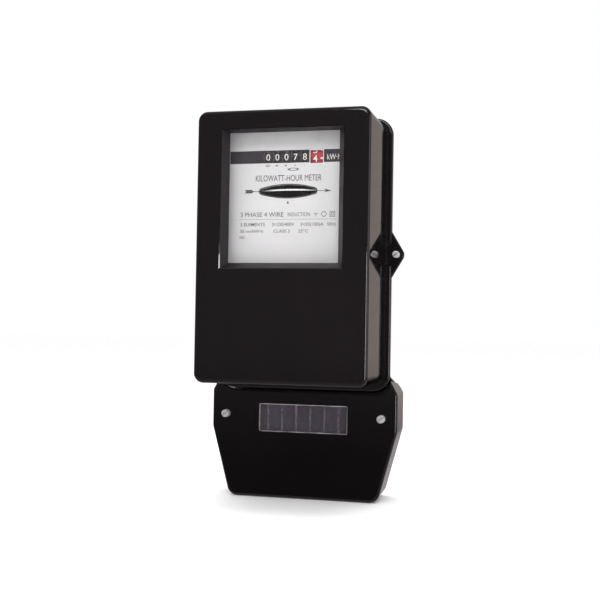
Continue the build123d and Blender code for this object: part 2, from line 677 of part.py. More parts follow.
def sealing_screw(x, z, seat, length, head_r):
    """A sealing screw seated at y = seat: a collar, a neck drilled for the seal wire, and a slotted knob."""
    neck_base = seat - SEAL_COLLAR[1]
    knob_base = neck_base - SEAL_NECK[1]
    with BuildPart() as screw:
        with BuildSketch(facing(knob_base)):
            with Locations((x, z)):
                Circle(head_r)
        extrude(amount=SEAL_KNOB_HEIGHT)
        fillet(screw.faces().sort_by(Axis.Y)[0].edges(), radius=0.5)
        with BuildSketch(facing(knob_base - SEAL_KNOB_HEIGHT + SEAL_SLOT_DEPTH)):
            with Locations(Location((x, z), SEAL_SLOT_ANGLE)):
                Rectangle(3 * head_r, SEAL_SLOT)
        extrude(amount=2, mode=Mode.SUBTRACT)
        collar = (head_r + SEAL_COLLAR[0], SEAL_COLLAR[1])
        for base, (radius, height) in ((neck_base, SEAL_NECK), (seat, collar)):
            with BuildSketch(facing(base)):
                with Locations((x, z)):
                    Circle(radius)
            extrude(amount=height)
        with BuildSketch(Plane.XY.offset(z)):
            with Locations((x, neck_base - SEAL_NECK[1] / 2)):
                Circle(SEAL_WIRE_R)
        extrude(amount=5, both=True, mode=Mode.SUBTRACT)
        with BuildSketch(facing(seat)):
            with Locations((x, z)):
                Circle(SEAL_SHANK_R)
        extrude(amount=-length)
    return screw


ear_seat = COVER_REAR - FLANGE_THICK + EAR_SINK
cover_seal_screw_left = sealing_screw(-EAR_SCREW_X, FLANGE_MID, ear_seat, EAR_SHANK, EAR_HEAD_R)
cover_seal_screw_right = sealing_screw(EAR_SCREW_X, FLANGE_MID, ear_seat, EAR_SHANK, EAR_HEAD_R)
terminal_seal_screw_left = sealing_screw(-POST[0], POST[1], TERMINAL_FRONT, POST_SHANK, SEAL_HEAD_R)
terminal_seal_screw_right = sealing_screw(POST[0], POST[1], TERMINAL_FRONT, POST_SHANK, SEAL_HEAD_R)

# ------------------------------------------------------------------ rotor

with BuildPart() as rotor_shaft:
    with BuildSketch(Plane.XY.offset(SHAFT_BOTTOM)):
        with Locations((0, ROTOR_Y)):
            Circle(SHAFT_R)
    extrude(amount=SHAFT_TOP - SHAFT_BOTTOM)


def rotor_disc(z):
    """An aluminium disc with its hub clamped on the shaft."""
    with BuildPart() as disc:
        with BuildSketch(Plane.XY.offset(z - DISC_THICK / 2)):
            with Locations((0, ROTOR_Y)):
                Circle(DISC_RADIUS)
        extrude(amount=DISC_THICK)
        with BuildSketch(Plane.XY.offset(z - HUB_HALF_HEIGHT)):
            with Locations((0, ROTOR_Y)):
                Circle(HUB_R)
        extrude(amount=2 * HUB_HALF_HEIGHT)
        with BuildSketch(Plane.XY.offset(z - HUB_HALF_HEIGHT)):
            with Locations((0, ROTOR_Y)):
                Circle(SHAFT_R)
        extrude(amount=2 * HUB_HALF_HEIGHT, mode=Mode.SUBTRACT)
    return disc


upper_disc = rotor_disc(UPPER_DISC_Z)
lower_disc = rotor_disc(LOWER_DISC_Z)

with BuildPart() as worm:
    with BuildSketch(Plane.XY.offset(DRUM_Z - WORM_HEIGHT / 2)):
        with Locations((0, ROTOR_Y)):
            Circle(WORM_ROOT_R)
            Circle(SHAFT_R, mode=Mode.SUBTRACT)
    extrude(amount=WORM_HEIGHT)
    thread_start = DRUM_Z + 0.75 * WORM_THREAD - WORM_THREAD * (WORM_TURNS / 2 + 1)
    with BuildLine():
        thread = Helix(WORM_THREAD, WORM_THREAD * WORM_TURNS, WORM_ROOT_R, center=(0, ROTOR_Y, thread_start))
    with BuildSketch(Plane(thread @ 0, x_dir=(1, 0, 0), z_dir=(0, -1, 0))):
        Polygon((-0.15, -0.42), (WORM_FLANK, -0.18), (WORM_FLANK, 0.18), (-0.15, 0.42), align=None)
    sweep(path=thread, is_frenet=True)


def bearing(z_base, height, z_bore, bore_height):
    """A brass bush in the frame bar, with a blind hole for the end of the shaft."""
    with BuildPart() as bush:
        with BuildSketch(Plane.XY.offset(z_base)):
            with Locations((0, ROTOR_Y)):
                Circle(BEARING_R)
        extrude(amount=height)
        with BuildSketch(Plane.XY.offset(z_bore)):
            with Locations((0, ROTOR_Y)):
                Circle(SHAFT_R + RUNNING)
        extrude(amount=bore_height, mode=Mode.SUBTRACT)
    return bush


lower_bearing = bearing(FRAME_BOTTOM, SHAFT_BOTTOM - FRAME_BOTTOM + BEARING_REACH,
                        SHAFT_BOTTOM - RUNNING, BEARING_REACH + 1)
upper_bearing = bearing(SHAFT_TOP - BEARING_REACH, FRAME_TOP - SHAFT_TOP + BEARING_REACH,
                        SHAFT_TOP - BEARING_REACH - 1, BEARING_REACH + 1 + RUNNING)

# ------------------------------------------------------------------ register

number_drum_xs = [FIRST_DRUM_X + k * DRUM_PITCH for k in range(5)]

with BuildSketch() as carry_outline:
    Circle(SIDE_GEAR_ROOT)
    for angle in CARRY_ANGLES:
        with Locations(Location((0, 0), angle)):
            with Locations((SIDE_GEAR_ROOT - 0.4, 0)):
                Rectangle(2.0, 1.0, align=(Align.MIN, Align.CENTER))
    Circle(AXLE_R + RUNNING, mode=Mode.SUBTRACT)

drum_axis = (DRUM_Y, DRUM_Z)
pinion_axis = (PINION_Y, PINION_Z)
arbor_axis = (ARBOR_Y, DRUM_Z)


def drum(left, right, carries, last_gear):
    """A number drum: its rim, a two-tooth carry wheel on its left, and its driving gear on its right."""
    with BuildPart() as wheel:
        with BuildSketch(sideways(left)):
            with Locations(drum_axis):
                Circle(DRUM_RADIUS)
                Circle(AXLE_R + RUNNING, mode=Mode.SUBTRACT)
        extrude(amount=right - left)
        if carries:
            with BuildSketch(sideways(left - SIDE_GEAR_WIDTH)):
                with Locations(drum_axis):
                    add(carry_outline.sketch)
            extrude(amount=SIDE_GEAR_WIDTH)
        if last_gear:
            with BuildSketch(sideways(right)):
                with Locations(drum_axis):
                    Circle(4)
                    Circle(AXLE_R + RUNNING, mode=Mode.SUBTRACT)
            extrude(amount=GEAR_LEFT - right)
            with BuildSketch(sideways(GEAR_LEFT)):
                with Locations(drum_axis):
                    add(gear_outline(DRUM_GEAR_TEETH, GEAR_MODULE, DRUM_GEAR_PHASE, AXLE_R + RUNNING))
            extrude(amount=GEAR_WIDTH)
        else:
            with BuildSketch(sideways(right)):
                with Locations(drum_axis):
                    add(gear_outline(SIDE_GEAR_TEETH, SIDE_GEAR_MODULE, PINION_ANGLE, AXLE_R + RUNNING))
            extrude(amount=SIDE_GEAR_WIDTH)
    return wheel


drum_names = ("drum_ten_thousands", "drum_thousands", "drum_hundreds", "drum_tens", "drum_units")
drums = {
    name: drum(x - DRUM_RIM / 2, x + DRUM_RIM / 2, x > FIRST_DRUM_X, False)
    for name, x in zip(drum_names, number_drum_xs)
}
drums["drum_tenths"] = drum(*TENTHS_RIM, True, True)


def transfer_pinion(x):
    """The eight-tooth pinion that carries from one drum to the next."""
    with BuildPart() as pinion:
        with BuildSketch(sideways(x - PINION_WIDTH / 2)):
            with Locations(pinion_axis):
                add(gear_outline(PINION_TEETH, SIDE_GEAR_MODULE, PINION_PHASE, THIN_AXLE_R + RUNNING))
        extrude(amount=PINION_WIDTH)
    return pinion


pinion_names = ("ten_thousands", "thousands", "hundreds", "tens", "units")
pinions = {
    f"transfer_pinion_{name}": transfer_pinion(x + DRUM_PITCH / 2)
    for name, x in zip(pinion_names, number_drum_xs)
}


def axle(axis, radius):
    """A straight axle between the register's two side plates, along X."""
    with BuildPart() as rod:
        with BuildSketch(sideways(REGISTER_LEFT)):
            with Locations(axis):
                Circle(radius)
        extrude(amount=REGISTER_RIGHT - REGISTER_LEFT)
    return rod


drum_axle = axle(drum_axis, AXLE_R)
transfer_axle = axle(pinion_axis, THIN_AXLE_R)
wheel_arbor = axle(arbor_axis, THIN_AXLE_R)

with BuildPart() as worm_wheel:
    with BuildSketch(sideways(-1)):
        with Locations(arbor_axis):
            add(gear_outline(WHEEL_TEETH, WHEEL_MODULE, 0, THIN_AXLE_R))
    extrude(amount=2)

with BuildPart() as arbor_gear:
    with BuildSketch(sideways(GEAR_LEFT)):
        with Locations(arbor_axis):
            add(gear_outline(ARBOR_GEAR_TEETH, GEAR_MODULE, ARBOR_PHASE, THIN_AXLE_R))
            with PolarLocations(6.5, 4):
                Circle(2.2, mode=Mode.SUBTRACT)
    extrude(amount=GEAR_WIDTH)

with BuildPart() as register_frame:
    for x in (REGISTER_LEFT, REGISTER_RIGHT - REGISTER_SHEET):
        with BuildSketch(sideways(x)):
            with Locations(((DIAL_REAR + 3 + BRIDGE_REAR) / 2, (REGISTER_BOTTOM + REGISTER_TOP) / 2)):
                Rectangle(BRIDGE_REAR - DIAL_REAR - 3, REGISTER_TOP - REGISTER_BOTTOM)
            with Locations(drum_axis):
                Circle(AXLE_R, mode=Mode.SUBTRACT)
            with Locations(pinion_axis):
                Circle(THIN_AXLE_R, mode=Mode.SUBTRACT)
            with Locations(arbor_axis):
                Circle(THIN_AXLE_R + RUNNING, mode=Mode.SUBTRACT)
        extrude(amount=REGISTER_SHEET)
    with BuildSketch(Plane.XY.offset(REGISTER_TOP - REGISTER_SHEET)):
        with Locations(((REGISTER_LEFT + REGISTER_RIGHT) / 2, (DIAL_REAR + BRIDGE_REAR) / 2)):
            Rectangle(REGISTER_RIGHT - REGISTER_LEFT, BRIDGE_REAR - DIAL_REAR)
        with Locations((0, (FRAME_FRONT + ARM_REAR) / 2)):
            Rectangle(2 * CHEEK_INNER, ARM_REAR - FRAME_FRONT)
    extrude(amount=REGISTER_SHEET)
    with BuildSketch(facing(DIAL_REAR + REGISTER_SHEET)):
        with Locations(((REGISTER_LEFT + REGISTER_RIGHT) / 2, (TAB_BOTTOM + REGISTER_TOP) / 2)):
            Rectangle(REGISTER_RIGHT - REGISTER_LEFT, REGISTER_TOP - TAB_BOTTOM)
        with Locations((-DIAL_SCREWS_UPPER[0] + 1, DIAL_SCREWS_UPPER[1]), DIAL_SCREWS_UPPER):
            Circle(DIAL_SCREW_R, mode=Mode.SUBTRACT)
    extrude(amount=REGISTER_SHEET)
    with BuildSketch(facing(ARM_REAR)):
        for side in (-1, 1):
            with Locations((side * (CHEEK_INNER - 2), (TAB_BOTTOM + REGISTER_TOP) / 2)):
                Rectangle(4, REGISTER_TOP - TAB_BOTTOM)
    extrude(amount=ARM_REAR - FRAME_FRONT)
    with BuildSketch(sideways(-CHEEK_INNER)):
        with Locations(((ARM_REAR + FRAME_FRONT) / 2, (TAB_BOTTOM + REGISTER_TOP) / 2)):
            Circle(SHAFT_R)
    extrude(amount=2 * CHEEK_INNER, mode=Mode.SUBTRACT)

# ------------------------------------------------------------------ dial plate

dial_screw_points = [
    (-DIAL_SCREWS_UPPER[0] + 1, DIAL_SCREWS_UPPER[1]),
    DIAL_SCREWS_UPPER,
    (-DIAL_SCREWS_LOWER[0], DIAL_SCREWS_LOWER[1]),
    DIAL_SCREWS_LOWER,
]

with BuildPart() as dial_plate:
    with BuildSketch(facing(DIAL_REAR)):
        with Locations((0, DIAL_Z)):
            RectangleRounded(*DIAL_SIZE, 2)
        with Locations(*[(x, DRUM_Z) for x in number_drum_xs]):
            Rectangle(*DRUM_WINDOW, mode=Mode.SUBTRACT)
        with Locations((sum(TENTHS_RIM) / 2, DRUM_Z - TENTHS_WINDOW_DROP)):
            Rectangle(*TENTHS_WINDOW, mode=Mode.SUBTRACT)
        half_width = DISC_SLOT_WIDTH / 2
        half_height = DISC_SLOT_HEIGHT / 2
        corner_points = [
            (across * half_width, DISC_SLOT_Z + up * DISC_SLOT_END)
            for across, up in ((-1, 1), (1, 1), (1, -1), (-1, -1))
        ]
        bulges = [
            (0, DISC_SLOT_Z + half_height),
            (half_width + DISC_SLOT_BULGE, DISC_SLOT_Z),
            (0, DISC_SLOT_Z - half_height),
            (-half_width - DISC_SLOT_BULGE, DISC_SLOT_Z),
        ]
        with BuildLine():
            for corner, bulge, following in zip(corner_points, bulges, corner_points[1:] + corner_points[:1]):
                ThreePointArc(corner, bulge, following)
        make_face(mode=Mode.SUBTRACT)
        with Locations(*dial_screw_points):
            Circle(DIAL_SCREW_R + 0.1, mode=Mode.SUBTRACT)
    extrude(amount=DIAL_THICK)

with BuildPart() as dial_screws:
    with BuildSketch(facing(DIAL_REAR + REGISTER_SHEET)):
        with Locations(*dial_screw_points):
            Circle(DIAL_SCREW_R)
    extrude(amount=DIAL_THICK + REGISTER_SHEET)
    with BuildSketch(facing(DIAL_FRONT)):
        with Locations(*dial_screw_points):
            Circle(DIAL_SCREW_HEAD[0])
    extrude(amount=DIAL_SCREW_HEAD[1])
    with BuildSketch(facing(DIAL_FRONT - DIAL_SCREW_HEAD[1] / 2)):
        with Locations(*dial_screw_points):
            Rectangle(4, 0.5)
    extrude(amount=1, mode=Mode.SUBTRACT)

# ------------------------------------------------------------------ driving elements

element_planes = {
    "left": Plane(origin=(-SIDE_ELEMENT_X, ROTOR_Y, 0), x_dir=(0, 1, 0), z_dir=(1, 0, 0)),
    "right": Plane(origin=(SIDE_ELEMENT_X, ROTOR_Y, 0), x_dir=(0, 1, 0), z_dir=(1, 0, 0)),
    "rear": Plane(origin=(0, REAR_ELEMENT_Y, 0), x_dir=(1, 0, 0), z_dir=(0, -1, 0)),
}
element_discs = {"left": LOWER_DISC_Z, "right": LOWER_DISC_Z, "rear": UPPER_DISC_Z}


def voltage_core(plane, disc_z):
    """A laminated core with three limbs, its poles just above the disc."""
    base = disc_z + DISC_THICK / 2 + DISC_GAP
    with BuildPart() as core:
        with BuildSketch(plane):
            with Locations((0, base + VOLTAGE_CORE[1] / 2)):
                Rectangle(*VOLTAGE_CORE)
            for side in (-1, 1):
                with Locations((side * VOLTAGE_WINDOW_X, base + VOLTAGE_WINDOW_Z)):
                    Rectangle(*VOLTAGE_WINDOW, mode=Mode.SUBTRACT)
                with Locations((side * POLE_SLIT_X, base + POLE_SLIT[1] / 2)):
                    Rectangle(*POLE_SLIT, mode=Mode.SUBTRACT)
                with Locations((side * VOLTAGE_SCREW[0], base + VOLTAGE_SCREW[1])):
                    Circle(CORE_HOLE_R, mode=Mode.SUBTRACT)
        extrude(amount=STACK / 2, both=True)
    return core


def current_core(plane, disc_z):
    """A U-shaped laminated core, its two poles just below the disc."""
    top = disc_z - DISC_THICK / 2 - DISC_GAP
    with BuildPart() as core:
        with BuildSketch(plane):
            with Locations((0, top - CURRENT_CORE[1] / 2)):
                Rectangle(*CURRENT_CORE)
            with Locations((0, top - CURRENT_WINDOW[1] / 2)):
                Rectangle(*CURRENT_WINDOW, mode=Mode.SUBTRACT)
            for side in (-1, 1):
                with Locations((side * CURRENT_SCREW[0], top - CURRENT_SCREW[1])):
                    Circle(CORE_HOLE_R, mode=Mode.SUBTRACT)
        extrude(amount=STACK / 2, both=True)
    return core


def coil(plane, offsets, size, limb, bottom):
    """Coils wound round upright limbs of this width, each at one of the offsets along the core."""
    level = Plane(origin=plane.origin + Vector(0, 0, bottom), x_dir=plane.x_dir, z_dir=(0, 0, 1))
    with BuildPart() as winding:
        with BuildSketch(level):
            with Locations(*[(offset, 0) for offset in offsets]):
                RectangleRounded(size[0], size[1], COIL_CORNER)
                Rectangle(limb, STACK, mode=Mode.SUBTRACT)
        extrude(amount=size[2])
    return winding


elements = {}
for place, plane in element_planes.items():
    disc_z = element_discs[place]
    pole_gap = DISC_THICK / 2 + DISC_GAP
    elements[f"voltage_core_{place}"] = voltage_core(plane, disc_z)
    elements[f"voltage_coil_{place}"] = coil(
        plane, (0,), VOLTAGE_COIL, VOLTAGE_LIMB, disc_z + pole_gap + VOLTAGE_COIL_LIFT
    )
    elements[f"current_core_{place}"] = current_core(plane, disc_z)
    elements[f"current_coils_{place}"] = coil(
        plane,
        (-CURRENT_SCREW[0], CURRENT_SCREW[0]),
        CURRENT_COIL,
        CURRENT_LIMB,
        disc_z - pole_gap - CURRENT_COIL_DROP,
    )


def element_screw_points(disc_z):
    """The four screws of one element, as (along the core, height)."""
    top = disc_z + DISC_THICK / 2 + DISC_GAP + VOLTAGE_SCREW[1]
    bottom = disc_z - DISC_THICK / 2 - DISC_GAP - CURRENT_SCREW[1]
    return [(side * VOLTAGE_SCREW[0], top) for side in (-1, 1)] + [
        (side * CURRENT_SCREW[0], bottom) for side in (-1, 1)
    ]


# each element's plane, and the sign of its local Z on the side where the frame is
frame_sides = {"left": -1, "right": 1, "rear": -1}

with BuildPart() as element_screws:
    for place, plane in element_planes.items():
        frame_side = frame_sides[place]
        with BuildSketch(plane.offset(-frame_side * STACK / 2)):
            with Locations(*element_screw_points(element_discs[place])):
                Circle(SHAFT_R)
        extrude(amount=frame_side * (STACK + SCREW_DEPTH))
        with BuildSketch(plane.offset(-frame_side * STACK / 2)):
            with Locations(*element_screw_points(element_discs[place])):
                Circle(HEAD_R)
        extrude(amount=-frame_side * HEAD_HEIGHT)
        with BuildSketch(plane.offset(-frame_side * (STACK / 2 + HEAD_HEIGHT - SLOT_DEPTH))):
            with Locations(*element_screw_points(element_discs[place])):
                Rectangle(2.2 * HEAD_R, SLOT_WIDTH)
        extrude(amount=-frame_side * HEAD_HEIGHT, mode=Mode.SUBTRACT)


def brake_magnet(side):
    """A C-shaped brake magnet astride the rim of the upper disc."""
    with BuildPart() as magnet:
        with BuildSketch(facing(ROTOR_Y)):
            with Locations((side * sum(MAGNET_X) / 2, UPPER_DISC_Z)):
                Rectangle(MAGNET_X[1] - MAGNET_X[0], MAGNET_HEIGHT)
            with Locations((side * (MAGNET_X[0] + MAGNET_SLOT[0]) / 2, UPPER_DISC_Z)):
                Rectangle(MAGNET_SLOT[0] - MAGNET_X[0], MAGNET_SLOT[1], mode=Mode.SUBTRACT)
        extrude(amount=MAGNET_WIDTH / 2, both=True)
        fillet(magnet.edges().filter_by(Axis.Z), radius=MAGNET_EDGE)
        with BuildSketch(sideways(side * CHEEK_INNER)):
            with Locations(*magnet_screw_points):
                Circle(SHAFT_R)
        extrude(amount=-side * SCREW_DEPTH, mode=Mode.SUBTRACT)
    return magnet


magnet_screw_points = [(ROTOR_Y - MAGNET_SCREW[0], UPPER_DISC_Z + MAGNET_SCREW[1]),
                       (ROTOR_Y + MAGNET_SCREW[0], UPPER_DISC_Z - MAGNET_SCREW[1])]
brake_magnet_left = brake_magnet(-1)
brake_magnet_right = brake_magnet(1)
side_screw_points = magnet_screw_points + [((ARM_REAR + FRAME_FRONT) / 2, (TAB_BOTTOM + REGISTER_TOP) / 2)]

with BuildPart() as side_screws:
    for side in (-1, 1):
        with BuildSketch(sideways(side * CHEEK_OUTER)):
            with Locations(*magnet_screw_points):
                Circle(SHAFT_R)
        extrude(amount=-side * (CHEEK_OUTER - CHEEK_INNER + SCREW_DEPTH))
        with BuildSketch(sideways(side * CHEEK_OUTER)):
            with Locations(side_screw_points[-1]):
                Circle(SHAFT_R)
        extrude(amount=-side * (CHEEK_OUTER - CHEEK_INNER + 4))
        with BuildSketch(sideways(side * CHEEK_OUTER)):
            with Locations(*side_screw_points):
                Circle(HEAD_R)
        extrude(amount=side * HEAD_HEIGHT)
        with BuildSketch(sideways(side * (CHEEK_OUTER + HEAD_HEIGHT - SLOT_DEPTH))):
            with Locations(*side_screw_points):
                Rectangle(SLOT_WIDTH, 2.2 * HEAD_R)
        extrude(amount=side * HEAD_HEIGHT, mode=Mode.SUBTRACT)

# ------------------------------------------------------------------ mechanism frame

with BuildPart() as mechanism_frame:
    with BuildSketch(facing(FRAME_REAR)):
        with Locations((0, (FRAME_BOTTOM + FRAME_PLATE_TOP) / 2)):
            Rectangle(2 * CHEEK_OUTER, FRAME_PLATE_TOP - FRAME_BOTTOM)
        for z, width, height in BACK_WINDOWS:
            with Locations((0, z)):
                RectangleRounded(width, height, FRAME_WINDOW_CORNER, mode=Mode.SUBTRACT)
        with Locations((0, HANGER_NOTCH[2])):
            Rectangle(HANGER_NOTCH[0], HANGER_NOTCH[1], mode=Mode.SUBTRACT)
        with Locations(*frame_screw_points):
            Circle(CORE_HOLE_R, mode=Mode.SUBTRACT)
    extrude(amount=FRAME_REAR - FRAME_BACK_FRONT)
    for side in (-1, 1):
        with BuildSketch(sideways(side * CHEEK_INNER)):
            with Locations(((FRAME_REAR + FRAME_FRONT) / 2, (FRAME_BOTTOM + FRAME_TOP) / 2)):
                Rectangle(FRAME_REAR - FRAME_FRONT, FRAME_TOP - FRAME_BOTTOM)
            for z, height in CHEEK_WINDOWS:
                with Locations((CHEEK_WINDOW_Y, z)):
                    RectangleRounded(CHEEK_WINDOW_WIDTH, height, FRAME_WINDOW_CORNER, mode=Mode.SUBTRACT)
            with Locations(*side_screw_points):
                Circle(SHAFT_R, mode=Mode.SUBTRACT)
        extrude(amount=side * (CHEEK_OUTER - CHEEK_INNER))
        with BuildSketch(facing(FRAME_FRONT)):
            with Locations((side * (CHEEK_OUTER - 5.5), DIAL_SCREWS_LOWER[1])):
                Rectangle(11, 12)
            with Locations((side * DIAL_SCREWS_LOWER[0], DIAL_SCREWS_LOWER[1])):
                Circle(DIAL_SCREW_R, mode=Mode.SUBTRACT)
        extrude(amount=FRAME_FRONT - DIAL_REAR)
    for bottom in (FRAME_BOTTOM, FRAME_TOP - BAR_HEIGHT):
        with BuildSketch(Plane.XY.offset(bottom)):
            with Locations((0, ROTOR_Y)):
                Rectangle(2 * CHEEK_INNER, 16)
                Circle(BEARING_R, mode=Mode.SUBTRACT)
        extrude(amount=BAR_HEIGHT)
    for place, frame_side in frame_sides.items():
        plane = element_planes[place].offset(frame_side * STACK / 2)
        reach = abs(FRAME_BACK_FRONT - REAR_ELEMENT_Y) if place == "rear" else CHEEK_INNER - SIDE_ELEMENT_X
        with BuildSketch(plane):
            with Locations(*element_screw_points(element_discs[place])):
                Circle(HEAD_R)
                Circle(SHAFT_R, mode=Mode.SUBTRACT)
        extrude(amount=frame_side * (reach - STACK / 2))

with BuildPart() as frame_screws:
    with BuildSketch(facing(FRAME_BACK_FRONT)):
        with Locations(*frame_screw_points):
            Circle(HEAD_R)
    extrude(amount=HEAD_HEIGHT)
    with BuildSketch(facing(FRAME_BACK_FRONT - HEAD_HEIGHT + SLOT_DEPTH)):
        with Locations(*frame_screw_points):
            Rectangle(2.2 * HEAD_R, SLOT_WIDTH)
    extrude(amount=HEAD_HEIGHT, mode=Mode.SUBTRACT)
    with BuildSketch(facing(FRAME_BACK_FRONT)):
        with Locations(*frame_screw_points):
            Circle(SHAFT_R)
    extrude(amount=FRAME_BACK_FRONT + 2)

# ------------------------------------------------------------------ write every piece

finished = {
    "main_cover": main_cover,
    "window_glass": window_glass,
    "base_gasket": base_gasket,
    "base_tray": base_tray,
    "sealing_inserts": sealing_inserts,
    "hanger_plate": hanger_plate,
    "hanger_rivets": hanger_rivets,
    "terminal_cover": terminal_cover,
    "terminal_window": terminal_window,
    "terminal_block": terminal_block,
    "terminal_sleeves": terminal_sleeves,
    "terminal_clamp_screws": terminal_clamp_screws,
    "cover_seal_screw_left": cover_seal_screw_left,
    "cover_seal_screw_right": cover_seal_screw_right,
    "terminal_seal_screw_left": terminal_seal_screw_left,
    "terminal_seal_screw_right": terminal_seal_screw_right,
    "rotor_shaft": rotor_shaft,
    "upper_disc": upper_disc,
    "lower_disc": lower_disc,
    "worm": worm,
    "lower_bearing": lower_bearing,
    "upper_bearing": upper_bearing,
    "drum_axle": drum_axle,
    "transfer_axle": transfer_axle,
    "wheel_arbor": wheel_arbor,
    "worm_wheel": worm_wheel,
    "arbor_gear": arbor_gear,
    "register_frame": register_frame,
    "dial_plate": dial_plate,
    "dial_screws": dial_screws,
    "element_screws": element_screws,
    "brake_magnet_left": brake_magnet_left,
    "brake_magnet_right": brake_magnet_right,
    "side_screws": side_screws,
    "mechanism_frame": mechanism_frame,
    "frame_screws": frame_screws,
    **drums,
    **pinions,
    **elements,
}
for name, piece in finished.items():
    piece.part.label = name
    export_step(piece.part, f"parts/{name}.step")
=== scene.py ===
import json
from math import cos, pi, radians, sin

import bmesh
import bpy
from mathutils import Matrix, Vector


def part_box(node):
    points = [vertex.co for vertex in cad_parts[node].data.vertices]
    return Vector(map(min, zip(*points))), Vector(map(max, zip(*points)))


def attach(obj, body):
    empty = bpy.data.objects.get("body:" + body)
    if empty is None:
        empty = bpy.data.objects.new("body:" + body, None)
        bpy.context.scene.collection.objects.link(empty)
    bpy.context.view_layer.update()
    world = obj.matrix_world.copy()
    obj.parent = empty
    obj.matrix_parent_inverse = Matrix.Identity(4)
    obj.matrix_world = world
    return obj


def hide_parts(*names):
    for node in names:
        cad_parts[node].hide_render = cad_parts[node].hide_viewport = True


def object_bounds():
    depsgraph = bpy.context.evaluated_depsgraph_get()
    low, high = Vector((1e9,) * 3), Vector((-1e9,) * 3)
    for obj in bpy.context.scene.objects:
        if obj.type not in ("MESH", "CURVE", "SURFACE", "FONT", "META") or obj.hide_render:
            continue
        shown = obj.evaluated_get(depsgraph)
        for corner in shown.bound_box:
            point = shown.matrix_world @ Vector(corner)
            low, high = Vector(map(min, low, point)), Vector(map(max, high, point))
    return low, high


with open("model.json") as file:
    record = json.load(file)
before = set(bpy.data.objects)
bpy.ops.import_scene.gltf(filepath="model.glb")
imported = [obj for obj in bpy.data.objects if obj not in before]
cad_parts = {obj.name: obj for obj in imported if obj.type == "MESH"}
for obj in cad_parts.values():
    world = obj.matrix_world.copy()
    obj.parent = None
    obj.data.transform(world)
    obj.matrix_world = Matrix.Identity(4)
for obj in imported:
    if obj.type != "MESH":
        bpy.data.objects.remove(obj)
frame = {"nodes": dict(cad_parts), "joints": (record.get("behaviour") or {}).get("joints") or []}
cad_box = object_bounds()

MM = 0.001
INK = 0.05 * MM

# Places taken from the frame
dial_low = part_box("dial_plate")[0]
disc_low, disc_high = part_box("upper_disc")
joints = {joint["name"]: joint for joint in frame["joints"]}
drum_axis = Vector(joints["drum_units_spin"]["pos_m"])
rotor_axis = Vector(joints["rotor_spin"]["pos_m"])
DIAL_Y = dial_low.y
DRUM_Z = drum_axis.z
DRUM_RADIUS = 10.5 * MM
DISC_RADIUS = (disc_high.x - disc_low.x) / 2
DISC_Z = (disc_low.z + disc_high.z) / 2
DISC_HALF = 0.6 * MM


# ------------------------------------------------------------------ materials

CLEAR_IOR = 1.49
# the slanted faces round the main window, in X, Y and Z
WINDOW_BEVELS = ((-48.6 * MM, 48.6 * MM), (-123.4 * MM, -116.6 * MM), (86.8 * MM, 194.0 * MM))


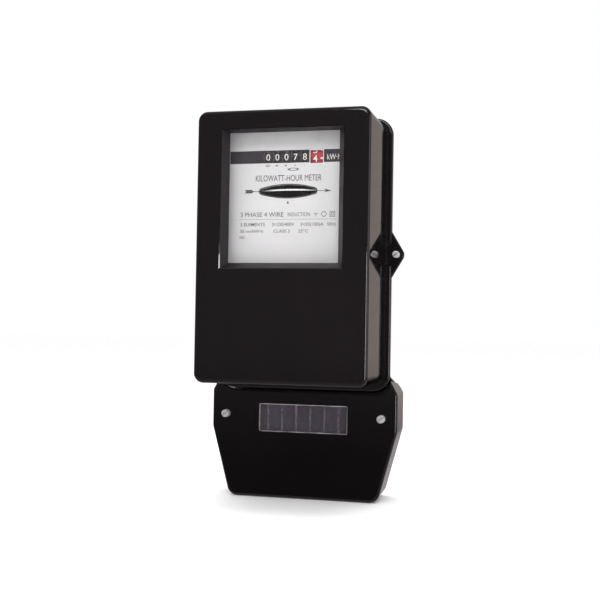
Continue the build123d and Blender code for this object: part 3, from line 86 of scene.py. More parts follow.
class Shader:
    """A node material being put together: every method returns the socket that it made."""

    def __init__(self, name):
        self.material = bpy.data.materials.new(name)
        self.material.use_nodes = True
        self.nodes = self.material.node_tree.nodes
        self.links = self.material.node_tree.links
        self.nodes.clear()
        self.place = self.node("ShaderNodeTexCoord").outputs["Object"]

    def node(self, kind, **settings):
        made = self.nodes.new(kind)
        for key, value in settings.items():
            setattr(made, key, value)
        return made

    def feed(self, node, **inputs):
        """Gives each named input (spaces as underscores) a value or a socket."""
        for key, value in inputs.items():
            socket = node.inputs[key.replace("_", " ")]
            if isinstance(value, bpy.types.NodeSocket):
                self.links.new(value, socket)
            elif isinstance(value, tuple) and len(value) == 3 and socket.type == "RGBA":
                socket.default_value = (*value, 1.0)
            else:
                socket.default_value = value
        return node

    def stretched(self, scale):
        mapping = self.node("ShaderNodeMapping")
        mapping.inputs["Scale"].default_value = scale
        self.links.new(self.place, mapping.inputs["Vector"])
        return mapping.outputs["Vector"]

    def noise(self, scale, detail=3.0, roughness=0.5, stretch=(1, 1, 1)):
        node = self.node("ShaderNodeTexNoise")
        self.feed(node, Vector=self.stretched(stretch), Scale=scale, Detail=detail, Roughness=roughness)
        return node.outputs["Fac"]

    def waves(self, scale, direction, distortion=0.0, detail=2.0):
        node = self.node("ShaderNodeTexWave", bands_direction=direction)
        self.feed(node, Vector=self.place, Scale=scale, Distortion=distortion, Detail=detail)
        return node.outputs["Fac"]

    def spread(self, value, low, high, start=0.0, end=1.0):
        """Takes value from low..high to start..end, held inside that range."""
        node = self.node("ShaderNodeMapRange")
        node.clamp = True
        self.links.new(value, node.inputs["Value"])
        for key, number in (("From Min", low), ("From Max", high), ("To Min", start), ("To Max", end)):
            node.inputs[key].default_value = number
        return node.outputs["Result"]

    def combine(self, operation, a, b):
        node = self.node("ShaderNodeMath", operation=operation)
        for socket, value in zip(node.inputs, (a, b)):
            if isinstance(value, bpy.types.NodeSocket):
                self.links.new(value, socket)
            else:
                socket.default_value = value
        return node.outputs["Value"]

    def blend(self, factor, a, b):
        node = self.node("ShaderNodeMix", data_type="RGBA")
        for index, value in ((0, factor), (6, a), (7, b)):
            if isinstance(value, bpy.types.NodeSocket):
                self.links.new(value, node.inputs[index])
            elif index:
                node.inputs[index].default_value = (*value, 1.0)
            else:
                node.inputs[index].default_value = value
        return node.outputs[2]

    def bump(self, height, distance, strength=1.0, normal=None):
        node = self.node("ShaderNodeBump")
        self.feed(node, Height=height, Distance=distance, Strength=strength)
        if normal is not None:
            self.links.new(normal, node.inputs["Normal"])
        return node.outputs["Normal"]

    def within(self, box):
        """1 where the object coordinates lie inside the box, given as limits in X, Y and Z, 0 outside."""
        split = self.node("ShaderNodeSeparateXYZ")
        self.links.new(self.place, split.inputs[0])
        inside = 1.0
        for place, (low, high) in zip(split.outputs, box):
            above = self.combine("GREATER_THAN", place, low)
            below = self.combine("LESS_THAN", place, high)
            inside = self.combine("MULTIPLY", inside, self.combine("MULTIPLY", above, below))
        return inside

    def edges(self, radius):
        """1 along convex and concave edges, 0 on open faces."""
        bevel = self.feed(self.node("ShaderNodeBevel", samples=4), Radius=radius)
        face = self.node("ShaderNodeNewGeometry").outputs["Normal"]
        dot = self.node("ShaderNodeVectorMath", operation="DOT_PRODUCT")
        self.links.new(bevel.outputs["Normal"], dot.inputs[0])
        self.links.new(face, dot.inputs[1])
        return self.spread(dot.outputs["Value"], 0.98, 0.80)

    def recesses(self, distance):
        """1 deep in corners, 0 in the open."""
        node = self.node("ShaderNodeAmbientOcclusion", samples=4)
        node.inputs["Distance"].default_value = distance
        return self.spread(node.outputs["AO"], 0.75, 0.25)

    def sheen(self, normal):
        """How much a thin clear sheet mirrors, the same from either side of it."""
        behind = self.node("ShaderNodeNewGeometry").outputs["Backfacing"]
        index = self.spread(behind, 0, 1, CLEAR_IOR, 1 / CLEAR_IOR)
        return self.feed(self.node("ShaderNodeFresnel"), IOR=index, Normal=normal).outputs["Fac"]

    def mixed(self, factor, one, two):
        """Blends two shaders."""
        node = self.node("ShaderNodeMixShader")
        for socket, value in zip(node.inputs, (factor, one, two)):
            self.links.new(value, socket)
        return node.outputs["Shader"]

    def clear_sheet(self, tint, film_colour, cover, mirror_roughness, grain):
        """What is behind shows through, tinted, under a thin film, and the skin mirrors at a slant."""
        clear = self.feed(self.node("ShaderNodeBsdfTransparent"), Color=tint).outputs["BSDF"]
        film = self.feed(self.node("ShaderNodeBsdfDiffuse"), Color=film_colour).outputs["BSDF"]
        mirror = self.feed(self.node("ShaderNodeBsdfAnisotropic"), Roughness=mirror_roughness, Normal=grain)
        return self.mixed(self.sheen(grain), self.mixed(cover, clear, film), mirror.outputs["BSDF"])

    def surface(self, **inputs):
        principled = self.feed(self.node("ShaderNodeBsdfPrincipled"), **inputs)
        return principled.outputs["BSDF"]

    def finish(self, shader):
        output = self.node("ShaderNodeOutputMaterial")
        self.links.new(shader, output.inputs["Surface"])
        return self.material


def bakelite():
    """Black phenolic moulding: deep gloss, faint flow marks, hair scratches, paler corners that are partly
    dusty and partly painted light, and a painted sheen on the window bevels.
    """
    s = Shader("bakelite")
    flow = s.noise(22, 5, 0.6, (1, 1, 0.35))
    colour = s.blend(flow, (0.0018, 0.0014, 0.0016), (0.0042, 0.0032, 0.0036))
    speckle = s.spread(s.noise(2600, 2), 0.66, 0.80)
    colour = s.blend(s.combine("MULTIPLY", speckle, 0.25), colour, (0.035, 0.024, 0.018))
    worn = s.combine("MULTIPLY", s.edges(0.4 * MM), s.spread(s.noise(130, 5, 0.6), 0.40, 0.75))
    colour = s.blend(s.combine("MULTIPLY", worn, 0.30), colour, (0.045, 0.038, 0.037))
    # paler in the corners and recesses: partly dusty, partly painted light standing in for the light the
    # flanges catch
    dust_and_painted_light = s.combine("MULTIPLY", s.recesses(5 * MM), s.spread(s.noise(900, 5), 0.35, 0.75))
    colour = s.blend(s.combine("MULTIPLY", dust_and_painted_light, 0.28), colour, (0.12, 0.11, 0.10))
    smudge = s.spread(s.noise(38, 4, 0.62), 0.45, 0.78, 0.035, 0.13)
    hairs = s.spread(s.noise(900, 2, 0.5, (1, 1, 0.02)), 0.62, 0.74, 0.0, 0.12)
    roughness = s.combine("ADD", smudge, hairs)
    roughness = s.combine("ADD", roughness, s.combine("MULTIPLY", dust_and_painted_light, 0.12))
    # the bevels round the window were left satin by their mould; the paler, mottled colour laid on them is a
    # painted sheen
    satin_and_sheen = s.within(WINDOW_BEVELS)
    roughness = s.combine("ADD", roughness, s.combine("MULTIPLY", satin_and_sheen, 0.30))
    mottle = s.spread(s.noise(420, 4, 0.6), 0.35, 0.7, 0.35, 1.0)
    colour = s.blend(s.combine("MULTIPLY", satin_and_sheen, mottle), colour, (0.014, 0.011, 0.014))
    peel = s.bump(s.noise(170, 2), 0.018 * MM, 0.55)
    normal = s.bump(s.noise(2400, 2), 0.002 * MM, 0.5, peel)
    return s.finish(s.surface(Base_Color=colour, Roughness=roughness, IOR=1.52, Normal=normal))


def metal(name, colour, tint, roughness, grain_scale, stretch, height, tarnish=0.3, metallic=1.0):
    """Bare or plated metal with directional tool marks, uneven tarnish, a painted highlight along the edges
    and painted shade in the recesses.
    """
    s = Shader(name)
    marks = s.noise(grain_scale, 3, 0.6, stretch)
    patches = s.spread(s.noise(120, 5, 0.65), 0.42, 0.72)
    shade = s.blend(s.combine("MULTIPLY", patches, tarnish), colour, tint)
    # painted highlight: edges lighter than the clean metal
    bright = tuple(min(1, c * 1.25) for c in colour)
    shade = s.blend(s.combine("MULTIPLY", s.edges(0.2 * MM), 0.6), shade, bright)
    # painted shade: darker in the recesses
    painted_recess_shade = s.combine("MULTIPLY", s.recesses(1.2 * MM), 0.55)
    shade = s.blend(painted_recess_shade, shade, tuple(c * 0.25 for c in tint))
    rough = s.combine("ADD", s.spread(marks, 0.3, 0.7, roughness * 0.75, roughness * 1.25),
                      s.combine("MULTIPLY", patches, 0.12))
    normal = s.bump(marks, height, 0.6)
    return s.finish(s.surface(Base_Color=shade, Metallic=metallic, Roughness=rough, Normal=normal))


def moulded(name, colour, shade, roughness, grain=900, distance=0.006 * MM, subsurface=0.0):
    """A moulded or painted plastic skin with a fine grain, uneven gloss and painted shade in its recesses."""
    s = Shader(name)
    mottle = s.noise(60, 4, 0.6)
    tone = s.blend(s.spread(mottle, 0.35, 0.7), colour, shade)
    # painted shade: darker in the recesses
    painted_corner_shade = s.combine("MULTIPLY", s.recesses(1.0 * MM), 0.5)
    tone = s.blend(painted_corner_shade, tone, tuple(c * 0.35 for c in shade))
    gloss = s.spread(s.noise(240, 4), 0.35, 0.7, roughness * 0.8, roughness * 1.2)
    normal = s.bump(s.noise(grain, 3), distance, 0.7)
    return s.finish(s.surface(Base_Color=tone, Roughness=gloss, Normal=normal, Subsurface_Weight=subsurface))


def dial_paint():
    """Satin white enamel on the dial sheet: faintly uneven, a few specks, fine orange peel."""
    s = Shader("dial_white")
    tone = s.blend(s.spread(s.noise(26, 4), 0.35, 0.7), (0.68, 0.665, 0.674), (0.65, 0.636, 0.644))
    specks = s.spread(s.noise(1500, 2), 0.70, 0.78)
    tone = s.blend(s.combine("MULTIPLY", specks, 0.35), tone, (0.42, 0.40, 0.38))
    tone = s.blend(s.combine("MULTIPLY", s.edges(0.3 * MM), 0.5), tone, (0.45, 0.45, 0.45))
    roughness = s.spread(s.noise(90, 3), 0.35, 0.7, 0.34, 0.48)
    normal = s.bump(s.noise(1100, 2), 0.003 * MM, 0.5)
    return s.finish(s.surface(Base_Color=tone, Roughness=roughness, Normal=normal))


def pane(name, tint, haze, haze_colour, roughness, ripple):
    """A thin clear sheet with smears on it."""
    s = Shader(name)
    smear = s.spread(s.noise(55, 5, 0.65, (1, 1, 0.5)), 0.45, 0.75)
    grain = s.bump(s.noise(140, 2), ripple, 0.6)
    cover = s.combine("ADD", s.combine("MULTIPLY", smear, haze * 0.35), haze)
    gloss = s.combine("ADD", s.combine("MULTIPLY", smear, 0.05), roughness)
    return s.finish(s.clear_sheet(tint, haze_colour, cover, gloss, grain))


def clear_edge(name, colour, cover, grain_scale):
    """The cut edge of smoked plastic: a pale, uneven painted glow stands in for the light that it gathers."""
    s = Shader(name)
    glow = s.spread(s.noise(grain_scale, 5, 0.7), 0.38, 0.66)
    tone = s.blend(glow, tuple(c * 0.40 for c in colour), colour)
    covered = s.combine("ADD", s.combine("MULTIPLY", glow, cover * 0.3), cover * 0.7)
    grain = s.bump(s.noise(300, 3), 0.02 * MM, 0.6)
    return s.finish(s.clear_sheet((0.5, 0.46, 0.52), tone, covered, 0.15, grain))


def printed_ink(name, colour, roughness=0.5):
    """Screen-printed ink: thin cover that varies a little."""
    s = Shader(name)
    cover = s.spread(s.noise(1400, 3, 0.6), 0.30, 0.75)
    tone = s.blend(cover, colour, tuple(min(1.0, c * 1.25 + 0.02) for c in colour))
    gloss = s.spread(s.noise(500, 3), 0.35, 0.7, roughness * 0.8, roughness * 1.2)
    return s.finish(s.surface(Base_Color=tone, Roughness=gloss, Normal=s.bump(cover, 0.004 * MM, 0.5)))


def wound_wire(name, colour, dark):
    """Enamelled copper: warm metal under lacquer, with painted shade between the turns."""
    s = Shader(name)
    drift = s.noise(140, 4, 0.6)
    tone = s.blend(s.spread(drift, 0.35, 0.7), colour, dark)
    # painted shade: darker in the hollows between the turns
    tone = s.blend(s.combine("MULTIPLY", s.recesses(0.8 * MM), 0.8), tone, tuple(c * 0.2 for c in dark))
    gloss = s.spread(s.noise(700, 3), 0.3, 0.7, 0.18, 0.34)
    normal = s.bump(s.noise(1600, 2), 0.004 * MM, 0.5)
    return s.finish(
        s.surface(Base_Color=tone, Metallic=0.75, Roughness=gloss, Normal=normal, Coat_Weight=0.6,
                  Coat_Roughness=0.12, Coat_Tint=(0.95, 0.70, 0.45))
    )


def coil_tape():
    """Varnished cotton tape round a coil: woven threads, amber varnish pooled in the hollows."""
    s = Shader("coil_wrap")
    warp = s.waves(520, "Z", 0.6)
    weft = s.waves(520, "DIAGONAL", 0.6)
    weave = s.combine("MULTIPLY", warp, weft)
    tone = s.blend(s.spread(s.noise(70, 4), 0.35, 0.7), (0.36, 0.20, 0.075), (0.24, 0.11, 0.035))
    tone = s.blend(s.spread(weave, 0.0, 0.5, 0.35, 0.0), tone, (0.07, 0.03, 0.01))
    normal = s.bump(weave, 0.05 * MM, 0.7)
    gloss = s.spread(s.noise(200, 3), 0.3, 0.7, 0.28, 0.5)
    return s.finish(s.surface(Base_Color=tone, Roughness=gloss, Normal=normal))


def disc_aluminium():
    """The rotor discs: lathe-turned aluminium whose fine grooves run round the shaft."""
    s = Shader("disc_aluminium")
    offset = s.node("ShaderNodeVectorMath", operation="SUBTRACT")
    s.links.new(s.place, offset.inputs[0])
    offset.inputs[1].default_value = rotor_axis
    flat = s.node("ShaderNodeVectorMath", operation="MULTIPLY")
    s.links.new(offset.outputs["Vector"], flat.inputs[0])
    flat.inputs[1].default_value = (1, 1, 0)
    radius = s.node("ShaderNodeVectorMath", operation="LENGTH")
    s.links.new(flat.outputs["Vector"], radius.inputs[0])
    turned = s.node("ShaderNodeTexNoise", noise_dimensions="1D")
    s.links.new(radius.outputs["Value"], turned.inputs["W"])
    turned.inputs["Scale"].default_value = 9000
    grooves = turned.outputs["Fac"]
    tone = s.blend(s.spread(s.noise(60, 4), 0.4, 0.7), (0.86, 0.865, 0.87), (0.74, 0.745, 0.75))
    gloss = s.spread(grooves, 0.3, 0.7, 0.16, 0.34)
    normal = s.bump(grooves, 0.004 * MM, 0.6)
    return s.finish(s.surface(Base_Color=tone, Metallic=1.0, Roughness=gloss, Normal=normal, Anisotropic=0.5))


def stage_paper():
    """The pale studio sheet under and behind the meter."""
    s = Shader("stage_paper")
    tone = s.blend(s.spread(s.noise(9, 4), 0.3, 0.7), (0.955, 0.955, 0.955), (0.94, 0.94, 0.943))
    normal = s.bump(s.noise(700, 3), 0.03 * MM, 0.3)
    return s.finish(s.surface(Base_Color=tone, Roughness=0.85, Normal=normal, Specular_IOR_Level=0.1))


FINE = 0.003 * MM  # heights of grain and tool marks
MEDIUM = 0.004 * MM
COARSE = 0.03 * MM
# name: colour, tarnished colour, roughness, scale and stretch of the tool marks, their height, more
METALS = {
    "brass": ((0.80, 0.60, 0.28), (0.42, 0.27, 0.10), 0.26, 900, (1, 1, 8), MEDIUM, 0.45),
    "zinc_steel": ((0.66, 0.67, 0.68), (0.45, 0.43, 0.36), 0.34, 1200, (1, 6, 1), MEDIUM),
    "nickel_steel": ((0.92, 0.91, 0.89), (0.60, 0.58, 0.55), 0.36, 1500, (1, 4, 1), FINE, 0.3, 0.72),
    "bright_steel": ((0.72, 0.72, 0.73), (0.50, 0.49, 0.47), 0.22, 2200, (1, 1, 6), FINE),
    "cast_alloy": ((0.52, 0.53, 0.54), (0.36, 0.36, 0.36), 0.46, 650, (1, 1, 1), COARSE, 0.5),
    "laminations": ((0.30, 0.31, 0.34), (0.20, 0.13, 0.09), 0.42, 700, (1, 1, 4), 0.01 * MM, 0.6),
}
# name: colour, shaded colour, roughness, scale and height of the grain
PLASTICS = {
    "gasket": ((0.020, 0.020, 0.021), (0.030, 0.029, 0.028), 0.75, 1500, 0.02 * MM),
    "drum_black": ((0.034, 0.028, 0.032), (0.050, 0.042, 0.046), 0.5),
    "drum_red": ((0.50, 0.030, 0.048), (0.40, 0.022, 0.036), 0.42),
    "magnet": ((0.055, 0.075, 0.095), (0.040, 0.052, 0.066), 0.36, 500, COARSE),
}
materials = {
    "bakelite": bakelite(),
    "window_glass": pane("window_glass", (0.992, 0.995, 0.994), 0.002, (0.7, 0.7, 0.7), 0.02, MEDIUM),
    "smoked_plastic": pane("smoked_plastic", (0.42, 0.38, 0.44), 0.42, (0.125, 0.104, 0.132), 0.12, COARSE),
    "aluminium_sheet": disc_aluminium(),
    "dial_white": dial_paint(),
    "nylon": moulded("nylon", (0.78, 0.76, 0.68), (0.66, 0.63, 0.54), 0.4, subsurface=0.15),
    "coil_wrap": coil_tape(),
    "copper": wound_wire("copper", (0.72, 0.30, 0.13), (0.48, 0.17, 0.07)),
}
materials.update({name: metal(name, *values) for name, values in METALS.items()})
materials.update({name: moulded(name, *values) for name, values in PLASTICS.items()})
bobbin = moulded("bobbin", (0.23, 0.060, 0.025), (0.16, 0.040, 0.018), 0.34)
# the rim and ribs of the terminal window: a painted glow
window_edge_glow = clear_edge("window_edge_glow", (0.95, 0.86, 0.96), 0.90, 90)
window_rib_glow = clear_edge("window_rib_glow", (0.30, 0.26, 0.31), 0.60, 420)
rim_paint_and_highlight = printed_ink("rim_paint_and_highlight", (0.84, 0.84, 0.83), 0.4)
ink_black = printed_ink("ink_black", (0.030, 0.026, 0.030))
ink_strip = printed_ink("ink_strip", (0.020, 0.015, 0.020), 0.5)
ink_white = printed_ink("ink_white", (0.74, 0.73, 0.70), 0.45)
ink_grey = printed_ink("ink_grey", (0.085, 0.08, 0.09), 0.45)

for node in frame["nodes"].values():
    slot_name = node.material_slots[0].material.name.split(".")[0]
    for held in node.material_slots:
        held.material = materials[slot_name]
# the screws that hold the dial were painted with it
frame["nodes"]["dial_screws"].material_slots[0].material = materials["dial_white"]


# ------------------------------------------------------------------ making pieces


def piece(name, shape, body, slot_name, material=None, replaced=(), smooth=False):
    """Turns a bmesh into a piece of the model that rides on a body."""
    mesh = bpy.data.meshes.new(name)
    bmesh.ops.recalc_face_normals(shape, faces=shape.faces)
    shape.to_mesh(mesh)
    shape.free()
    made = bpy.data.objects.new(name, mesh)
    bpy.context.scene.collection.objects.link(made)
    mesh.materials.append(material or materials[slot_name])
    for face in mesh.polygons:
        face.use_smooth = smooth
    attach(made, body)
    if replaced:
        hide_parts(*replaced)


CAP_HEIGHT = 0.729  # of Blender's own font at size 1
NARROW = 0.82


def words(text, height, width=None, thin=0.0):
    """A flat solid of the text in the XY plane, its middle at the origin, capitals this high."""
    curve = bpy.data.curves.new("words", "FONT")
    curve.body = text
    curve.size = 1.0
    curve.extrude = 0.5
    curve.offset = -thin
    curve.resolution_u = 3
    holder = bpy.data.objects.new("words", curve)
    bpy.context.scene.collection.objects.link(holder)
    bpy.context.view_layer.update()
    mesh = bpy.data.meshes.new_from_object(holder)
    bpy.data.objects.remove(holder)
    shape = bmesh.new()
    shape.from_mesh(mesh)
    bpy.data.meshes.remove(mesh)
    bmesh.ops.remove_doubles(shape, verts=shape.verts, dist=1e-5)
    xs = [vertex.co.x for vertex in shape.verts]
    middle = (min(xs) + max(xs)) / 2
    stretch_y = height / CAP_HEIGHT
    stretch_x = width / (max(xs) - min(xs)) if width else stretch_y * NARROW
    for vertex in shape.verts:
        vertex.co = Vector((
            (vertex.co.x - middle) * stretch_x,
            (vertex.co.y - CAP_HEIGHT / 2) * stretch_y,
            vertex.co.z * 2 * INK,
        ))
    return shape


def onto_dial(shape, x, z):
    """Stands a flat shape on the face of the dial, its middle at x, z."""
    for vertex in shape.verts:
        vertex.co = Vector((x + vertex.co.x, DIAL_Y - vertex.co.z, z + vertex.co.y))
    return shape


def thickened(shape, step):
    """Gives a sheet of faces a thickness, by this step."""
    grown = bmesh.ops.extrude_face_region(shape, geom=shape.faces[:])["geom"]
    raised = [item for item in grown if isinstance(item, bmesh.types.BMVert)]
    bmesh.ops.translate(shape, verts=raised, vec=step)
    return shape


def plate(points):
    """A flat solid as thick as ink, in the XY plane, with this outline."""
    shape = bmesh.new()
    shape.faces.new([shape.verts.new((x, y, -INK)) for x, y in points])
    return thickened(shape, (0, 0, 2 * INK))


def bar(x0, x1, y0, y1):
    return plate([(x0, y0), (x1, y0), (x1, y1), (x0, y1)])


def washer(inner, outer):
    """A flat solid as thick as ink between two outlines of as many points each."""
    shape = bmesh.new()
    skin(shape, [
        [shape.verts.new((x, y, level)) for x, y in points]
        for points, level in ((inner, -INK), (outer, -INK), (outer, INK), (inner, INK))
    ], close=True)
    return shape


def ring(radius, line, sides):
    """A flat ring or polygon outline, its first corner at the top."""
    turns = [2 * pi * k / sides for k in range(sides)]
    return washer(*(
        [(edge * sin(turn), edge * cos(turn)) for turn in turns]
        for edge in (radius - line, radius)
    ))


def joined(shapes):
    """One bmesh of them all."""
    whole = bmesh.new()
    for shape in shapes:
        mesh = bpy.data.meshes.new("part")
        shape.to_mesh(mesh)
        shape.free()
        whole.from_mesh(mesh)
        bpy.data.meshes.remove(mesh)
    return whole


def turned(shape, angle):
    bmesh.ops.transform(shape, matrix=Matrix.Rotation(angle, 4, "Z"), verts=shape.verts)
    return shape


def rounded(half_x, half_y, corner, steps):
    """Points round a rounded rectangle about the origin."""
    points = []
    for quarter, (side_x, side_y) in enumerate(((1, 1), (-1, 1), (-1, -1), (1, -1))):
        for k in range(steps + 1):
            angle = pi / 2 * (quarter + k / steps)
            x = side_x * (half_x - corner) + corner * cos(angle)
            y = side_y * (half_y - corner) + corner * sin(angle)
            points.append((x, y))
    return points


def skin(shape, loops, close=False):
    """Faces from each closed loop to the next, with caps on the two ends unless the run closes on itself."""
    count = len(loops[0])
    following = loops[1:] + (loops[:1] if close else [])
    for one, two in zip(loops, following):
        for k in range(count):
            shape.faces.new((one[k], one[(k + 1) % count], two[(k + 1) % count], two[k]))
    if not close:
        shape.faces.new(loops[0])
        shape.faces.new(loops[-1])


# ------------------------------------------------------------------ dial print

DIAL_HALF = 47.0 * MM
STRIP_HALF = 4.9 * MM
FIGURE_HEIGHT = 5.3 * MM
DRUM_ORDER = ("ten_thousands", "thousands", "hundreds", "tens", "units")
WINDOW_HALF = (2.7 * MM, 3.7 * MM)
SIDE_GEAR = 1.05 * MM
DRUM_RIM = 5.0 * MM
drum_xs = []
for order in DRUM_ORDER:
    # the rim is the part of each drum between its side gears
    drum_xs.append(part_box(f"drum_{order}")[1].x - SIDE_GEAR - DRUM_RIM / 2)
TENTHS_X = 22.3 * MM
TENTHS_HALF = (5.0 * MM, 4.9 * MM)
TENTHS_Z = DRUM_Z - 0.5 * MM


def dial_text(text, x, z, height, width, thin=0.0):
    """Lettering on the dial, its middle at x, z. All lengths in mm."""
    return onto_dial(words(text, height * MM, width * MM, thin), x * MM, z * MM)


def dial_plate(points, z):
    """A printed patch on the dial, its points in mm."""
    return onto_dial(plate([(x * MM, y * MM) for x, y in points]), 0, z)


BOLDER = -0.006
MUCH_BOLDER = -0.03
black_print = [
    dial_text("KILOWATT-HOUR METER", 0.2, 158.4, 5.0, 52.4),
    dial_text("3 PHASE 4 WIRE", -20.6, 130.3, 3.7, 34.6),
    dial_text("INDUCTION", 8.9, 130.2, 3.2, 17.6),
]
fine_print = [dial_text(*line, BOLDER) for line in (
    ("3×230/400V", -3.5, 122.6, 2.7, 17.8),
    ("3×20(100)A", 19.3, 122.6, 2.7, 18.2),
    ("50Hz", 34.7, 122.6, 2.7, 6.9),
    ("3 ELEMENTS", -28.0, 122.6, 2.7, 19.8),
    ("30 rev/kW·h", -28.9, 117.4, 2.5, 18.6),
    ("CLASS 2", -4.5, 117.4, 2.5, 13.2),
    ("25°C", 12.6, 117.4, 2.5, 7.8),
    ("NO.", -36.0, 112.6, 2.5, 4.7),
)]
DECADES_Z = 167.9 * MM
for x, decade in zip(drum_xs, ("10000", "1000", "100", "10", "1")):
    fine_print.append(onto_dial(words(decade, 1.2 * MM, None, MUCH_BOLDER), x, DECADES_Z))

# the direction arrow through the disc slot: shaft, head, quill and feathers, then the pointer under the slot
ARROW_Z = 148.1 * MM
arrow = [
    [(-28.6, -0.22), (-21.9, -0.22), (-21.9, 0.22), (-28.6, 0.22)],
    [(21.9, -0.22), (29.5, -0.22), (29.5, 0.22), (21.9, 0.22)],
    [(28.6, -1.35), (34.6, 0), (28.6, 1.35), (30.0, 0)],
    [(-34.4, -0.12), (-27.6, -0.12), (-27.6, 0.12), (-34.4, 0.12)],
    [(-33.6, -0.20), (-34.8, -1.30), (-29.2, -1.30), (-27.6, -0.20)],
    [(-33.6, 0.20), (-34.8, 1.30), (-29.2, 1.30), (-27.6, 0.20)],
]
black_print += [dial_plate(points, ARROW_Z) for points in arrow]
POINTER_Z = 139.6 * MM
black_print.append(dial_plate([(-0.95, -1.1), (0.95, -1.1), (0, 1.2)], POINTER_Z))

# a rim printed round the disc slot
SLOT_HALF = (21.25 * MM, 4.8 * MM)
SLOT_END = 1.6 * MM
SLOT_BULGE = 1.2 * MM


def slot_edge(grow):
    """Points round the disc slot: two long bows joined by short bulging ends, grown outwards."""
    half_x, half_z = SLOT_HALF[0] + grow, SLOT_HALF[1] + grow
    end = SLOT_END + grow
    points = []
    for k in range(25):
        t = k / 24 * 2 - 1
        points.append((t * half_x, end + (half_z - end) * (1 - t * t)))
    for k in range(1, 8):
        t = 1 - k / 4
        points.append((half_x + SLOT_BULGE * (1 - t * t), t * end))
    return points + [(-x, -z) for x, z in points]


black_print.append(onto_dial(washer(slot_edge(0.05 * MM), slot_edge(0.85 * MM)), 0, ARROW_Z))

# a flat oval under the decade labels, the connection and insulation symbols, and the rule
oval = ring(1.1 * MM, 0.42 * MM, 28)
bmesh.ops.scale(oval, vec=(4.2, 1.0, 1.0), verts=oval.verts)
fine_print.append(onto_dial(oval, 3.9 * MM, 164.9 * MM))
SYMBOLS_Z = 130.2 * MM
SQUARES_X = 35.2 * MM
fine_print.append(onto_dial(ring(2.1 * MM, 0.5 * MM, 32), 28.6 * MM, SYMBOLS_Z))
for radius in (3.0 * MM, 1.6 * MM):
    square = turned(ring(radius, 0.6 * MM, 4), pi / 4)
    fine_print.append(onto_dial(square, SQUARES_X, SYMBOLS_Z))
for angle in (60, 180, 300):
    limb = turned(bar(-0.22 * MM, 0.22 * MM, 0, 1.8 * MM), radians(angle))
    fine_print.append(onto_dial(limb, 22.3 * MM, SYMBOLS_Z))
fine_print.append(onto_dial(bar(-39.4 * MM, 38.6 * MM, -0.1 * MM, 0.1 * MM), 0, 126.4 * MM))

piece("dial_print", joined(black_print), "base", "dial_white", ink_black)
piece("dial_fine_print", joined(fine_print), "base", "dial_white", ink_grey)

# the dark strip behind the figures, open at every window
xs = [-DIAL_HALF]
for x in drum_xs:
    xs += [x - WINDOW_HALF[0], x + WINDOW_HALF[0]]
xs += [TENTHS_X - TENTHS_HALF[0], TENTHS_X + TENTHS_HALF[0], DIAL_HALF]
zs = [-STRIP_HALF, -WINDOW_HALF[1], WINDOW_HALF[1], STRIP_HALF]
strip = bmesh.new()
corners = [[strip.verts.new((x, z, -INK)) for z in zs] for x in xs]
for column, (left_side, right_side) in enumerate(zip(corners, corners[1:])):
    over_window = column % 2 == 1
    over_tenths = column == len(xs) - 3
    for row in range(len(zs) - 1):
        if over_tenths or (over_window and row == 1):
            continue
        strip.faces.new((left_side[row], right_side[row], right_side[row + 1], left_side[row + 1]))
loose = [vertex for vertex in strip.verts if not vertex.link_faces]
bmesh.ops.delete(strip, geom=loose, context="VERTS")
thickened(strip, (0, 0, 2 * INK))
piece("dial_strip", onto_dial(strip, 0, DRUM_Z), "base", "dial_white", ink_strip)

# the unit, and a bar on each side of the decimal drum, printed over the strip
pale_print = [dial_text("kW·h", 35.6, 174.0, 4.4, 10.2, -0.004)]
for side in (-1, 1):
    edge = bar(-0.26 * MM, 0.26 * MM, -6.1 * MM, 5.6 * MM)
    pale_print.append(onto_dial(edge, TENTHS_X + side * (TENTHS_HALF[0] + 0.35 * MM), TENTHS_Z))
pale_print = joined(pale_print)
bmesh.ops.translate(pale_print, verts=pale_print.verts, vec=(0, -INK, 0))
piece("dial_pale_print", pale_print, "base", "dial_white", ink_white)


# ------------------------------------------------------------------ figures round the drums

READING = (0, 0, 0, 7, 8)
TENTHS_READING = 4.25
FIGURE_STEP = 2 * pi / 10
WRAP_STEPS = 10


def wrapped(shape, x, turn):
    """Wraps a flat shape round a drum, its middle at x and turned up from the front by this angle."""
    heights = [vertex.co.y for vertex in shape.verts]
    for k in range(1, WRAP_STEPS):
        level = min(heights) + (max(heights) - min(heights)) * k / WRAP_STEPS
        everything = shape.verts[:] + shape.edges[:] + shape.faces[:]
        bmesh.ops.bisect_plane(shape, geom=everything, plane_co=(0, level, 0), plane_no=(0, 1, 0))
    for vertex in shape.verts:
        angle = turn + vertex.co.y / DRUM_RADIUS
        radius = DRUM_RADIUS + vertex.co.z
        vertex.co = Vector((x + vertex.co.x, drum_axis.y - radius * cos(angle), DRUM_Z + radius * sin(angle)))
    return shape


for order, x, shown in zip(DRUM_ORDER, drum_xs, READING):
    figures = [
        wrapped(words(str(figure), FIGURE_HEIGHT, 3.1 * MM), x, FIGURE_STEP * (figure - shown))
        for figure in range(10)
    ]
    piece(f"figures_{order}", joined(figures), f"drum_{order}", "drum_black", ink_white)

# the decimal drum has a figure and a small triangle for each tenth
figures = []
for figure in range(10):
    turn = FIGURE_STEP * (figure - TENTHS_READING)
    figures.append(wrapped(words(str(figure), 5.0 * MM, 3.4 * MM, -0.01), TENTHS_X - 1.5 * MM, turn))
    triangle = plate([(1.1 * MM, -1.0 * MM), (1.1 * MM, 1.0 * MM), (-1.1 * MM, 0)])
    figures.append(wrapped(triangle, TENTHS_X + 3.2 * MM, turn))
piece("figures_tenths", joined(figures), "drum_tenths", "drum_red", ink_white)

# ------------------------------------------------------------------ rotor marks

